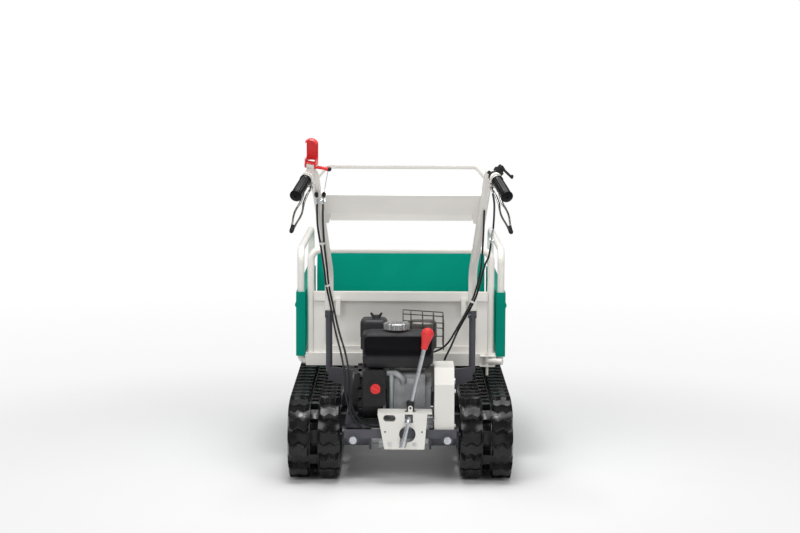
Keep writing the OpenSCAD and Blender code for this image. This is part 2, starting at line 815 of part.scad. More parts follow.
module gearbox() {
    gearbox_top = plate_low - seat_gap;
    color("#a9abac") machine() difference() {
        union() {
            along_x(-body_x, body_x) round_rect([-60, gearbox_low], [60, gearbox_top], 14);
            rod_x(-gearbox_x, gearbox_x, 0, axle_z, neck_d);
            box([-60, -60, plate_low - 20], [60, 60, gearbox_top]);
            along_x(-70, gearbox_right - 6)
                round_rect([block_y0, gearbox_low + 26], [block_y1, block_top], 12);
            rod_x(gearbox_right - 10, gearbox_right + 12, input_y, input_z, input_d + 26);
            for (x = spacer_x) rod_y(x, gate_y + gate_t, block_y0 + 6, spacer_z, spacer_d);
            for (x = [-60, -20, 20, 60])
                box([x - 3, block_y1 - 4, gearbox_low + 10], [x + 3, 56, plate_low - 6]);
        }
        both_sides() rod_x(axle_end - 4, gearbox_x + 1, 0, axle_z, axle_d + 2 * run_fit);
        rod_x(30, gearbox_right + 20, input_y, input_z, input_d + 2 * run_fit);
        for (x = spacer_x) rod_y(x, gate_y, gate_y + 40, spacer_z, gate_bolt_d + 2 * run_fit);
    }
}

// Grooved belt pulley on a shaft along X
module pulley(d, bore) {
    groove = d / 2 - vbelt_t - 1.5;
    rotate([0, 90, 0]) rotate_extrude() polygon([
        [bore / 2, -pulley_w / 2], [d / 2, -pulley_w / 2], [d / 2, -vbelt_w / 2 - 1],
        [groove, -vbelt_w / 2 - 1], [groove, vbelt_w / 2 + 1],
        [d / 2, vbelt_w / 2 + 1], [d / 2, pulley_w / 2], [bore / 2, pulley_w / 2]
    ]);
}

module gearbox_pulley() {
    color("#8d8f92") machine() {
        rod_x(32, pulley_x + 18, input_y, input_z, input_d);
        translate([pulley_x, input_y, input_z]) pulley(input_pulley_d, input_d);
    }
}

// Outline of the belt at a depth below the pulley rims
module belt_loop(depth) {
    r0 = input_pulley_d / 2 - depth;
    r1 = engine_pulley_d / 2 - depth;
    tilt = asin((r1 - r0) / norm(span));
    up = span_out * cos(tilt) - span_dir * sin(tilt);
    dn = -span_out * cos(tilt) - span_dir * sin(tilt);
    a = [input_y, input_z];
    b = [crank_y, crank_z];
    translate(a) circle(r0);
    translate(b) circle(r1);
    polygon([a + up * r0, b + up * r1, b + dn * r1, a + dn * r0]);
}

module drive_belt() {
    color("#1d1d1e") machine() along_x(pulley_x - vbelt_w / 2, pulley_x + vbelt_w / 2) difference() {
        belt_loop(0);
        belt_loop(vbelt_t);
    }
}

module belt_tensioner() {
    color("#77797c") machine() difference() {
        union() {
            rod_x(pulley_x - 12, pulley_x + 12, idle_at[0], idle_at[1], 2 * idle_r);
            rod_x(pulley_x - 12, pulley_x + 20, idle_at[0], idle_at[1], 14);
            rod_x(pulley_x + 14, pulley_x + 20, idle_at[0], idle_at[1], 24);
            rod_x(pulley_x + 4, pulley_x + 20, idle_pivot[0], idle_pivot[1], idle_stud_d + 12);
            along_x(pulley_x + 14, pulley_x + 20) polygon([
                idle_at + span_out * 11, idle_pivot + span_out * 11,
                idle_pivot - span_out * 11, idle_at - span_out * 11
            ]);
        }
        rod_x(pulley_x - 20, pulley_x + 24, idle_pivot[0], idle_pivot[1], idle_stud_d + 2 * run_fit);
    }
}

module belt_cover() {
    outline = [
        [cover_back, cover_low], [cover_back, cover_top - 53], [cover_back + 46, cover_top],
        [cover_front - 22, cover_top], [cover_front, cover_top - 24],
        [cover_front, cover_low + cover_slant], [cover_heel, cover_low]
    ];
    color("#e4e0d8") machine() difference() {
        union() {
            along_x(cover_x, cover_x + cover_w) polygon(outline);
            box([pto_x, crank_y - 20, cover_top - 10], [cover_x + 4, crank_y + 10, cover_top]);
            for (z = [cover_low + 40, cover_low + 160])
                along_x(cover_x + cover_w, cover_x + cover_w + 5) translate([cover_back + 14, z]) circle(6);
        }
        along_x(cover_x - 1, cover_x + cover_w - cover_t) polygon(inset(outline, cover_t));
        rod_x(cover_x - 1, cover_x + cover_w + 1, 0, axle_z, housing_d + 2 * part_gap);
        rod_x(cover_x, cover_x + cover_w + 1, idle_pivot[0], idle_pivot[1], idle_stud_d + 2 * run_fit);
    }
}

module gate_plate() {
    slope = atan2(gate_rise, gate_deep);
    ear_w = 16;
    slot_z = gate_top - 17;
    long = norm([gate_rise, gate_deep]);
    color("#e4e0d8") machine() difference() {
        union() {
            along_y(gate_y, gate_y + gate_t)
                polygon([[-54, gate_low], [-78, gate_top - 1], [92, gate_top - 1], [82, gate_low]]);
            translate([0, gate_y, gate_top]) rotate([slope, 0, 0])
                box([-77, 0, -gate_t], [cover_x - 8, long, 0]);
            for (y = [gimbal[1] - 19, gimbal[1] + 15]) {
                foot = gate_top + (y + 2 - gate_y) * gate_rise / gate_deep - gate_t / 2;
                box([gimbal[0] - ear_w / 2, y, foot], [gimbal[0] + ear_w / 2, y + 4, gimbal[2]]);
                rod_y(gimbal[0], y, y + 4, gimbal[2], ear_w);
            }
        }
        rod_y(gimbal[0], gimbal[1] - 30, gimbal[1] + 30, gimbal[2], 8 + 2 * run_fit);
        box(
            [gimbal[0] - 18, gimbal[1] - 15, gate_top - 5],
            [gimbal[0] + 18, gimbal[1] + 15, gimbal[2] + 20]
        );
        box(
            [lever_bend[0] - 12, gate_y - 1, gate_top - 33],
            [lever_bend[0] + 16, gate_y + gate_t + 1, gate_top - gate_t - 0.5]
        );
        along_y(gate_y - 1, gate_y + gate_t + 1) {
            translate([-37, slot_z]) square([20, 22], center = true);
            for (x = [-47, -27]) translate([x, slot_z]) circle(11);
            translate([24, gate_low + 52]) circle(28);
            polygon([[0, gate_low + 50], [-4, gate_low + 6], [18, gate_low + 6], [30, gate_low + 40]]);
            for (x = [-52, 74]) translate([x, gate_low + 60]) circle(3);
            for (x = spacer_x) translate([x, spacer_z]) circle(gate_bolt_d / 2 + run_fit);
        }
    }
}

module shift_gimbal() {
    color("#1c1c1d") machine() translate(gimbal) difference() {
        union() {
            box([-13, -13, -11], [13, 13, 11]);
            rod_y(0, -19, 19, 0, 8);
            rod_z(0, 0, 11, 22, 28);
        }
        rotate([0, lever_lean, 0]) box([-lever_rod_d / 2 - 1, -10, 0], [lever_rod_d / 2 + 1, 10, 30]);
        box([-lever_rod_d / 2 - 2, -11, -12], [lever_rod_d / 2 + 2, 11, 3]);
        rod_x(-14, 14, 0, 0, 6 + 2 * run_fit);
    }
}

module shift_lever() {
    color("#c9d2d6") machine() {
        bent_bar([lever_top, gimbal, lever_neck, lever_bend, lever_foot], 10, lever_rod_d);
        rod_x(gimbal[0] - 13, gimbal[0] + 13, gimbal[1], gimbal[2], 6);
    }
}

module shift_knob() {
    v = unit(lever_top - gimbal);
    color("#d8322f") machine() translate(lever_top) rotate([0, acos(v[2]), atan2(v[1], v[0])])
        rotate_extrude() union() {
            polygon([[0, 0], [11, 0], [13, 20], [20, 48], [0, 56]]);
            intersection() {
                translate([0, 55]) circle(21.5);
                square([30, 80]);
            }
        }
}

module crankcase() {
    color("#a3a6a8") machine() difference() {
        union() {
            along_x(case_x0, case_x1) round_rect([case_y0, plate_z + 6], [case_y1, case_top], 20);
            along_x(case_x1, pto_x)
                round_rect([case_y0 + 10, plate_z + 12], [case_y1 - 10, case_top - 24], 34);
            box([case_x0, case_y0, plate_z], [case_x1 + 10, case_y1 + 26, plate_z + 12]);
            for (x = [-22, 8, 38]) box([x, case_y0 - 5, plate_z + 12], [x + 5, case_y0 + 8, case_top - 30]);
            rod([-34, case_y0 + 6, plate_z + 20], [-34, case_y0 - 12, case_top - 48], 16);
            box([case_x0 + 2, case_y0 - 8, case_top - 44], [case_x1 - 6, case_y0 + 20, case_top - 22]);
            for (x = [case_x0 + 20, case_x1 - 25]) box([x, 20, case_top - 4], [x + 22, 52, tank_low]);
        }
        along_x(case_x0 + 16, case_x1 - 12) translate([crank_y, crank_z]) circle(52);
        rod_x(case_x0 - 1, pto_x + 1, crank_y, crank_z, crank_d + 2 * run_fit);
        for (x = foot_x) rod_z(x, foot_y, plate_z - 1, plate_z + 13, foot_bolt_d + 2 * run_fit);
    }
}

module cylinder_block() {
    lean = 25;
    color("#8f9294") machine() difference() {
        translate([12, crank_y, crank_z]) rotate([lean, 0, 0]) {
            rod_y(0, 60, 165, 0, 84);
            for (k = [0 : 8]) box([-56, 84 + 9 * k, -48], [56, 88 + 9 * k, 48]);
            box([-48, 158, -44], [48, 186, 44]);
            along_y(186, 204) round_rect([-40, -38], [40, 38], 10);
            rod_y(0, 204, 212, 0, 30);
        }
        box([case_x0 - 1, case_y0 - 40, plate_z - 10], [case_x1 + 1, case_y1, case_top + 60]);
    }
}

module fan_shroud() {
    x0 = -130;
    box_y = crank_y - shroud_r - 40;
    color("#19191a") machine() difference() {
        union() {
            along_x(x0, case_x0) translate([crank_y, crank_z]) circle(shroud_r);
            along_x(x0 + 10, case_x0) translate([crank_y, crank_z]) square([shroud_r - 8, shroud_r - 4]);
            along_y(box_y, crank_y - 60) round_rect([-128, crank_z - 34], [-52, tank_chin - 4], 8);
            rod_y(-86, box_y - 6, box_y + 8, switch_z, switch_d + 20);
        }
        along_x(x0 + shroud_t, case_x0 + 1) translate([crank_y, crank_z]) circle(shroud_r - shroud_t);
        rod_x(x0 - 1, x0 + 8, crank_y, crank_z, 130);
        box([case_x0, crank_y - 100, crank_z - 110], [0, crank_y + 200, crank_z + 110]);
        rod_y(-86, box_y - 8, box_y + 14, switch_z, 12 + 2 * run_fit);
    }
    color("#19191a") machine() box([case_x0, box_y + 4, crank_z + 24], [-48, case_y0 - 8, tank_chin - 10]);
}

module recoil_starter() {
    x0 = -166;
    color("#1f1f21") machine() difference() {
        union() {
            rod_x(-148, -130, crank_y, crank_z, 2 * shroud_r - 8);
            rod_x(x0, -146, crank_y, crank_z, 2 * shroud_r - 44);
            along_y(crank_y - shroud_r + 6, crank_y - shroud_r + 30)
                round_rect([-160, crank_z + 22], [-140, crank_z + 72], 8);
        }
        rod_x(-148 + shroud_t, -129, crank_y, crank_z, 2 * shroud_r - 14);
        rod_x(x0 + shroud_t, -140, crank_y, crank_z, 2 * shroud_r - 50);
        for (k = [0 : 15]) translate([0, crank_y, crank_z]) rotate([22.5 * k, 0, 0])
            box([x0 - 1, 34, -4], [x0 + 10, 64, 4]);
        for (k = [0 : 15]) translate([0, crank_y, crank_z]) rotate([22.5 * k + 11, 0, 0])
            box([-146, shroud_r - 14, -6], [-134, shroud_r + 4, 6]);
    }
}

module crankshaft() {
    color("#8a8c8f") machine() {
        rod_x(-112, pulley_x + 20, crank_y, crank_z, crank_d);
        for (x = [-18, 16]) rod_x(x, x + 16, crank_y, crank_z, 88);
        rod_x(-18, 32, crank_y, crank_z + 24, 26);
        rod_x(-116, -84, crank_y, crank_z, 150);
        rod_x(-84, -66, crank_y, crank_z, 60);
    }
}

module engine_pulley() {
    color("#8d8f92") machine() translate([pulley_x, crank_y, crank_z]) pulley(engine_pulley_d, crank_d);
}

// Side outline of the fuel tank, with its chin behind the crankcase
function tank_outline() = [
    [-50, tank_chin], [-62, tank_low + 24], [-62, tank_top - 22], [-46, tank_top - 4],
    [10, tank_top], [66, tank_top - 6], [78, tank_top - 22], [78, tank_low],
    [-14, tank_low], [-24, tank_chin]
];

module fuel_tank() {
    half = tank_w / 2;
    color("#161617") machine() difference() {
        union() {
            intersection() {
                along_x(tank_x - half, tank_x + half) polygon(tank_outline());
                along_y(-80, 90) union() {
                    round_rect([tank_x - half, tank_low + 14], [tank_x + half, tank_top], 18);
                    polygon([
                        [tank_x - half + 22, tank_chin], [tank_x - half + 6, tank_low + 30],
                        [tank_x + half - 6, tank_low + 30], [tank_x + half - 30, tank_chin]
                    ]);
                }
            }
            rod_z(cap_x, cap_y, tank_top - 20, tank_top + 12, cap_d - 24);
        }
        along_x(tank_x - half + 20, tank_x + half - 20)
            polygon([
                [-58, tank_low + 20], [-58, tank_top - 24], [74, tank_top - 24],
                [74, tank_low + tank_t], [-40, tank_low + tank_t]
            ]);
        rod_z(cap_x, cap_y, tank_top - 40, tank_top + 13, cap_d - 32);
    }
}

module fuel_cap() {
    color("#c8c9cb") machine() difference() {
        rod_z(cap_x, cap_y, tank_top + 4, tank_top + 28, cap_d);
        rod_z(cap_x, cap_y, tank_top + 3, tank_top + 14, cap_d - 24 + 1);
        for (k = [0 : 11]) translate([cap_x, cap_y, tank_top]) rotate(30 * k)
            rod_z(cap_d / 2 + 4, 0, 2, 22, 14);
    }
}

module air_cleaner() {
    low = tank_low + 28;
    high = tank_top + 24;
    color("#2a2a2d") machine() {
        intersection() {
            along_y(94, 204) round_rect([-142, low], [-46, high], 14);
            along_z(low, high) round_rect([-142, 94], [-46, 204], 20);
        }
        rod_z(-86, 140, high, high + 6, 30);
        box([-104, 132, high + 4], [-68, 148, high + 20]);
    }
}

module muffler() {
    low = muffler_z;
    color("#3a3836") machine() {
        along_x(muffler_x, muffler_x + muffler_l)
            round_rect([muffler_y, low], [muffler_y + muffler_deep, low + muffler_h], 26);
        along_y(muffler_y - 8, muffler_y + 1)
            round_rect(
                [muffler_x + 24, low + muffler_h - 40],
                [muffler_x + muffler_l - 34, low + muffler_h - 12], 5
            );
        rod_z(muffler_x + 24, muffler_y + 68, crank_z + 118, low + 6, 34);
    }
}

module muffler_guard() {
    low = muffler_z - 4;
    high = muffler_z + muffler_h + 28;
    x0 = muffler_x - 12;
    x1 = muffler_x + muffler_l + 12;
    y0 = muffler_y - 16;
    y1 = muffler_y + muffler_deep + 14;
    color("#2c2a29") machine() {
        for (k = [0 : 4]) let (x = x0 + (x1 - x0) * k / 4)
            bent_bar([[x, y0, low], [x, y0, high], [x, y1, high], [x, y1, low]], 16, guard_wire);
        for (z = [low + 6, low + 44, low + 82, high - 14]) rod_x(x0, x1, y0, z, guard_wire);
        for (y = [y0 + 34, y0 + 68, y1 - 22]) rod_x(x0, x1, y, high, guard_wire);
        for (x = [x0, x1], z = [low + 6, low + 60]) rod_y(x, y0, y1, z, guard_wire);
    }
}

module carburettor() {
    top = tank_low + 28;
    color("#7f8184") machine() {
        box([-112, 150, top - 48], [-50, 200, top]);
        rod_z(-82, 176, top - 84, top - 46, 44);
        rod_x(-52, -44, 176, top - 22, 30);
    }
}

module switch_knob() {
    y = crank_y - shroud_r - 46;
    color("#cf2027") machine() {
        rod_y(-86, y - 10, y - 0.4, switch_z, switch_d);
        rod_y(-86, y - 1, y + 18, switch_z, 12);
        translate([-86, y - 10, switch_z]) rotate([0, 35, 0])
            box([-switch_d / 2, -8, -4], [switch_d / 2, 0.5, 4]);
    }
}

module handle_posts() {
    low = track_top + 58;
    inner = post_foot_x - 9;
    color("#46464e") machine() both_sides() {
        bent_bar([
            [post_x, post_y, post_top + bar_sunk], [post_x, post_y, low],
            [post_foot_x, post_y, low - 46], [post_foot_x, post_y, plate_z]
        ], 30, post_d);
        rod_z(post_x, post_y, post_top - 26, post_top - part_gap, post_d + 8);
        box([post_x - 4, post_y - post_d / 2 - 14, post_top - 26], [post_x + 4, post_y, post_top - part_gap]);
        rod_x(post_x - 14, post_x + 14, post_y - post_d / 2 - 9, post_top - 14, 8);
        rod_z(post_foot_x, post_y, plate_z, plate_z + 8, post_d + 6);
        along_y(post_y - post_d / 2 - 2, post_y - 3) polygon([
            [post_x + 2, low + 22], [post_x + 2, low - 26], [lane_x - 2, track_top + 14],
            [lane_x - 8, low - 80], [inner, low - 80], [inner, low + 10]
        ]);
    }
}

module lever_clamp() {
    y = steer_pin[1];
    difference() {
        union() {
            rod_y(0, y - 6, y + 4, 0, bar_d + 8);
            box([-7, y - 6, steer_pin[2]], [7, y + 8, 0]);
            rod_x(-7, 7, y, steer_pin[2], 16);
        }
        rod_x(-8, 8, y, steer_pin[2], steer_pin_d + 2 * run_fit);
    }
    rod_x(-14, 14, y, steer_pin[2], steer_pin_d);
}

// Lug that carries the clutch lever's pin on the left handle
module clutch_lug() {
    box([-13, clutch_pin[1] - 10, 0], [13, clutch_pin[1] + 10, clutch_pin[2]]);
    rod_x(-13, 13, clutch_pin[1], clutch_pin[2], 20);
    rod_x(-clutch_w / 2 - 3, clutch_w / 2 + 3, clutch_pin[1], clutch_pin[2], clutch_pin_d);
}

module handlebar() {
    color("#e4e0d8") machine() both_sides() difference() {
        bent_bar([
            [post_x, post_y, post_top], knee, slope_end - unit(apex - knee) * seat_gap
        ], knee_bend, bar_d);
        rod_z(post_x, post_y, post_top - 1, post_top + bar_sunk + 1, post_d + 2 * run_fit);
    }
}

// Bent ends that carry the grips, with the clamps of the levers
module handle_ends() {
    color("#e4e0d8") machine() {
        both_sides() {
            bent_bar([slope_end, apex, apex - ahead * (grip_start + grip_len - 8)], apex_bend, bar_d);
            at_grip() lever_clamp();
        }
        left_side() at_grip() rotate([0, -clutch_turn, 0]) clutch_lug();
    }
}

// Hoop between the sloping tubes, with its ends cut to sit on them
module handle_hoop() {
    joint = knee + (apex - knee) * 0.9;
    color("#e4e0d8") machine() difference() {
        bent_bar([
            joint, hoop_out, [-hoop_out[0], hoop_out[1], hoop_out[2]], [-joint[0], joint[1], joint[2]]
        ], 30, top_bar_d);
        both_sides() rod(knee, apex, bar_d + 2 * run_fit);
    }
}

module grip() {
    color("#1b1b1c") machine() at_grip() difference() {
        union() {
            rod_y(0, -grip_start - grip_len, -grip_start, 0, grip_d);
            rod_y(0, -grip_start - 6, -grip_start, 0, grip_flange_d);
            rod_y(0, -grip_start - grip_len, -grip_start - grip_len + 6, 0, grip_flange_d);
        }
        rod_y(0, -grip_start - grip_len + 6, -grip_start + 1, 0, bar_d + 2 * run_fit);
    }
}

// Folded sheet between the handlebar's sloping tubes, in axes along and across the slope
module crossmember() {
    slope = unit(apex - knee);
    pitch = atan2(slope[2], -slope[1]);
    low = knee + (apex - knee) * cross_at;
    w0 = low[0] - bar_d / 2 + 4;
    w1 = w0 + (cross_web + 2) * slope[0];
    lip_x = w0 - 30;
    color("#e4e0d8") machine() translate([0, low[1], low[2]]) rotate([180 - pitch, 0, 0]) difference() {
        union() {
            along_z(-cross_t / 2, cross_t / 2)
                polygon([
                    [-lip_x, 0], [-w0 + 16, -56], [-w0 - 2, -56], [-w0, 0], [-w1, cross_web],
                    [w1, cross_web], [w0, 0], [w0 + 2, -56], [w0 - 16, -56], [lip_x, 0]
                ]);
            box([-w1 + 2, cross_web - cross_t, -21], [w1 - 2, cross_web, 0]);
            rotate([-45, 0, 0]) box([-lip_x - 6, -24, -cross_t / 2], [lip_x + 6, 1, cross_t / 2]);
        }
        both_sides() handle_bore(low);
    }
}

// Space of a sloping handlebar tube, seen from the crossmember's axes
module handle_bore(low) {
    slope = unit(apex - knee);
    pitch = atan2(slope[2], -slope[1]);
    rotate([pitch - 180, 0, 0]) translate([0, -low[1], -low[2]]) rod(knee, apex, bar_d + 2 * run_fit);
}

// Open-loop lever with two bowed legs that meet at its tip
module steer_lever() {
    r = steer_pin_d / 2 + 6;
    reach = steer_len;
    color("#9a9490") machine() at_grip() translate(steer_pin) rotate([steer_drop, 0, 0]) difference() {
        union() {
            both_sides() along_x(8, 12) {
                circle(r);
                translate([-34, -r]) square([34, r + 3]);
            }
            rotate(steer_out) {
                along_z(-steer_t / 2, steer_t / 2) difference() {
                    polygon([
                        [-12, -22], [-17, -reach * 0.37], [-14, -reach * 0.58], [-7, -reach],
                        [7, -reach], [14, -reach * 0.58], [17, -reach * 0.37], [12, -22]
                    ]);
                    polygon([
                        [-7, -reach * 0.28], [-10, -reach * 0.38], [-8, -reach * 0.56], [-2, -reach * 0.74],
                        [2, -reach * 0.74], [8, -reach * 0.56], [10, -reach * 0.38], [7, -reach * 0.28]
                    ]);
                }
                rod_y(0, -reach - 6, -reach + 22, 0, 15);
            }
        }
        rod_x(-20, 20, 0, 0, steer_pin_d + 2 * run_fit);
    }
}

// Red paddle, part of a pipe that folds back over the left grip, with its cable arm
module clutch_lever() {
    r_in = grip_flange_d / 2 + 1;
    r_out = r_in + 3;
    half = clutch_w / 2;
    color("#cf2a2c") machine() left_side() at_grip() rotate([0, -clutch_turn, 0]) translate(clutch_pin) {
        difference() {
            intersection() {
                union() {
                    translate([0, 4, 6]) cylinder(h = clutch_len - 6 - r_out, r = r_out);
                    translate([0, 4, clutch_len - r_out]) sphere(r_out);
                }
                box([-half, -2, 0], [half, 60, clutch_len + 10]);
            }
            translate([0, 4, -1]) cylinder(h = clutch_len - r_out, r = r_in);
            translate([0, 4, clutch_len - r_out - 1]) sphere(r_in);
        }
        both_sides() difference() {
            along_x(15, half) {
                circle(11);
                translate([-8, -8]) square([26, 32]);
            }
            rod_x(10, 40, 0, 0, clutch_pin_d + 2 * run_fit);
        }
        difference() {
            union() {
                rod_x(-58, -15.5, 0, -4, 11);
                rod_x(-64, -52, 0, -4, 15);
            }
            rod_z(-58, 0, -20, 20, 4);
            rod_x(-40, 40, 0, 0, clutch_pin_d + 2 * run_fit);
        }
    }
}

module throttle_body() {
    top = throttle_pin[2];
    y = throttle_pin[1];
    color("#1c1c1d") machine() at_grip() rotate([0, throttle_lean, 0]) {
        difference() {
            union() {
                box([-10, y - 12, 4], [18, y + 10, top - 6]);
                translate([throttle_pin[0], y, 8]) cylinder(h = top - 8, d = 26);
            }
            rod_y(0, -80, 10, 0, bar_d + 1);
        }
        difference() {
            union() {
                rod_y(0, y - 12, y - 4, 0, bar_d + 9);
                box([-bar_d / 2 - 14, y - 12, -5], [-bar_d / 2 + 2, y - 4, 5]);
            }
            rod_y(0, -80, 10, 0, bar_d + 2 * run_fit);
        }
        translate([throttle_pin[0], y, top]) cylinder(h = 10, d = throttle_pin_d);
    }
}

module throttle_lever() {
    z0 = 0.3;
    color("#1c1c1d") machine() at_grip() rotate([0, throttle_lean, 0])
        translate(throttle_pin) rotate(-42) difference() {
            union() {
                rod_z(0, 0, z0, 7, 26);
                box([0, -7, z0], [44, 7, 6]);
                rod_z(44, 0, z0, 6, 14);
                rod_z(44, 0, z0, 11, 9);
            }
            rod_z(0, 0, -1, 12, throttle_pin_d + 2 * run_fit);
        }
}

module control_cables() {
    color("#1a1a1b") machine() {
        cable(clutch_route, cable_d);
        cable(left_steer_route, cable_d);
        cable(right_upper_route, cable_d);
        cable(right_steer_route, cable_d);
        cable(throttle_route, cable_d);
    }
}

// Screwed adjuster with its nut and the inner wire above it
module adjuster(low, high, hook) {
    v = unit(high - low);
    rod(low, high, cable_d + 2);
    rod(low + v * 12, low + v * 18, cable_d + 7);
    rod(high, hook, 2.4);
}

module cable_adjusters() {
    color("#b9bcc0") machine() {
        adjuster(clutch_route[0] + [0, -2, 2], [-259, -212, 992], clutch_hook);
        adjuster(left_steer_route[0] + [0, -2, 2], [-282, -212, 992], [-285, -280, 1036]);
        adjuster(
            right_steer_route[0] + [0, -3, 2], right_upper_route[3] + [0, 2, -3], right_upper_route[3]
        );
    }
}

module bed_rails() {
    back = bed_back + sill_d;
    front = front_y - part_gap - sill_d;
    box([bed_x - bed_t, back - 1, bed_z], [bed_x, front + 1, floor_z - 1]);
    box([bed_ear_x, back - 1, bed_z], [bed_ear_x + 8, front + 1, floor_z - 1]);
    box([bed_ear_x, hinge_y - ear_r, hinge_z], [bed_ear_x + 8, hinge_y + ear_r, bed_z + 4]);
    along_x(bed_ear_x, bed_ear_x + 8) translate([hinge_y, hinge_z]) circle(ear_r);
}

// Box sections across the two ends, with guides for the walls' slide bars
module bed_sills() {
    for (y = [back_leg_y, front_leg_y]) difference() {
        top = y == back_leg_y ? floor_z + part_gap : floor_z - 1;
        box([-bed_x, y - sill_d / 2, bed_z], [bed_x, y + sill_d / 2, top]);
        back = y - sill_d / 2 + bed_t;
        front = y + sill_d / 2 - bed_t;
        both_sides() box([230, back, bed_z + bed_t], [bed_x - bed_t, front, floor_z - bed_t]);
        box([-224, back, bed_z + bed_t], [224, front, floor_z - bed_t]);
    }
}

module bed_floor() {
    latch_y = bed_back - 20;
    guide_y = front_y - 195;
    color("#e4e0d8") machine() difference() {
        union() {
            box([-bed_x, bed_back + sill_d, floor_z - bed_t], [bed_x, front_y - part_gap, floor_z]);
            bed_sills();
            both_sides() bed_rails();
            box([-bed_x + 1, guide_y, bed_z + 2], [bed_x - 1, guide_y + 5, floor_z - 1]);
            box([-rib_x, bed_back + sill_d + 8, bed_z - rib_deep], [rib_x, bed_back + sill_d + 13, bed_z + 4]);
            both_sides() for (y = [guide_y, front_y - part_gap - 8])
                box([front_bar_x - 16, y, front_bar_z - 17], [front_bar_x + 16, y + 5, bed_z + 3]);
            for (z = [bed_z + 2, floor_z - 6])
                box([latch_x - 26, bed_back - 34, z], [latch_x + 28, bed_back + 1, z + 4]);
        }
        both_sides() for (y = [back_leg_y, front_leg_y])
            rod_x(200, bed_x + 1, y, bar_z, hoop_d + 2 * slide_fit);
        both_sides()
            rod_y(front_bar_x, guide_y - 1, front_y, front_bar_z, front_bar_d + 2 * slide_fit);
        rod_x(-bed_x, bed_x, hinge_y, hinge_z, hinge_pin_d + 2 * run_fit);
        rod_z(latch_x, latch_y, bed_z - 1, floor_z, latch_pin_d + 2 * run_fit);
    }
}

module latch_handle() {
    y = bed_back - 20;
    mid = (bed_z + floor_z) / 2;
    color("#e4e0d8") machine() {
        rod_z(latch_x, y, bed_z - 30, floor_z + 6, latch_pin_d);
        rod_z(latch_x, y, bed_z + 6.5, floor_z - 6.5, 18);
        rod([latch_x, y, mid], [latch_x + 54, y - 24, mid], 22);
    }
}

module bulkhead() {
    leg_x = bed_x - hoop_d / 2 - 5;
    low = floor_z + part_gap;
    inner = leg_x - hoop_d / 2 + 1;
    y0 = back_leg_y - 15;
    color("#e4e0d8") machine() {
        bent_bar([
            [leg_x, back_leg_y, low], [leg_x, back_leg_y, hoop_z],
            [-leg_x, back_leg_y, hoop_z], [-leg_x, back_leg_y, low]
        ], hoop_bend - 5, hoop_d);
        box([-inner, y0, rail_top - rail_h], [inner, y0 + 30, rail_top]);
        box([-inner, y0 + 18, low], [inner, y0 + 18 + bed_t, rail_top - rail_h + 1]);
        both_sides() box([inner - 40, y0 + 6, low], [inner, y0 + 20, rail_top - rail_h + 1]);
        box([-inner, y0 + 6, low], [inner, y0 + 20, low + 24]);
        both_sides() box([217, y0 - 9, rail_top - 82], [233, y0 + 1, rail_top - 22]);
    }
}

module side_panel() {
    y0 = back_leg_y - 22;
    y1 = front_leg_y + 22;
    x1 = panel_x + panel_t;
    color("#00836b") machine() difference() {
        union() {
            box([panel_x, y0, panel_z], [x1, y1, panel_top]);
            intersection() {
                rod_y(x1 - 10, y0, y1, panel_top - 46, 28);
                box([x1 - 4, y0, panel_z], [x1 + 20, y1, panel_top]);
            }
        }
        box([panel_x + bed_t, y0 + bed_t, panel_z + bed_t], [x1 - bed_t, y1 - bed_t, panel_top - bed_t]);
        for (y = [back_leg_y, front_leg_y])
            rod_z(hoop_x, y, panel_z - 1, panel_top + 1, hoop_d + 2 * run_fit);
    }
}

module hoop() {
    color("#e4e0d8") machine() bent_bar([
        [24, back_leg_y, bar_z], [hoop_x, back_leg_y, bar_z], [hoop_x, back_leg_y, hoop_z],
        [hoop_x, front_leg_y, hoop_z], [hoop_x, front_leg_y, bar_z], [24, front_leg_y, bar_z]
    ], [panel_t / 2, hoop_bend, hoop_bend, panel_t / 2], hoop_d);
}

module front_panel() {
    w = bed_x - 3;
    y0 = front_y;
    color("#00836b") machine() {
        along_x(-w, w) polygon([
            [y0, front_low], [y0, front_bend], [y0 + front_lean, front_top],
            [y0 + front_lean + bed_t, front_top], [y0 + bed_t, front_bend], [y0 + bed_t, front_low]
        ]);
        rod_x(-w, w, y0 + front_lean + front_roll / 2, front_top, front_roll);
        both_sides() box([w - bed_t, y0, front_low], [w, y0 + 26, front_bend]);
        both_sides() rod_y(front_bar_x, front_y - 420, front_y + 1, front_bar_z, front_bar_d);
    }
}

module track_beams() { both_sides() track_beam(); }
module left_track() { left_side() track(); }
module right_track() { track(); }
module left_sprocket() { left_side() sprocket(); }
module right_sprocket() { sprocket(); }
module left_idler() { left_side() idler(); }
module right_idler() { idler(); }
module left_roller_1() { left_side() roller(0); }
module left_roller_2() { left_side() roller(1); }
module left_roller_3() { left_side() roller(2); }
module right_roller_1() { roller(0); }
module right_roller_2() { roller(1); }
module right_roller_3() { roller(2); }
module left_grip() { left_side() grip(); }
module right_grip() { grip(); }
module left_steer_lever() { left_side() steer_lever(); }
module right_steer_lever() { steer_lever(); }
module left_panel() { left_side() side_panel(); }
module right_panel() { side_panel(); }
module left_hoop() { left_side() hoop(); }
module right_hoop() { hoop(); }

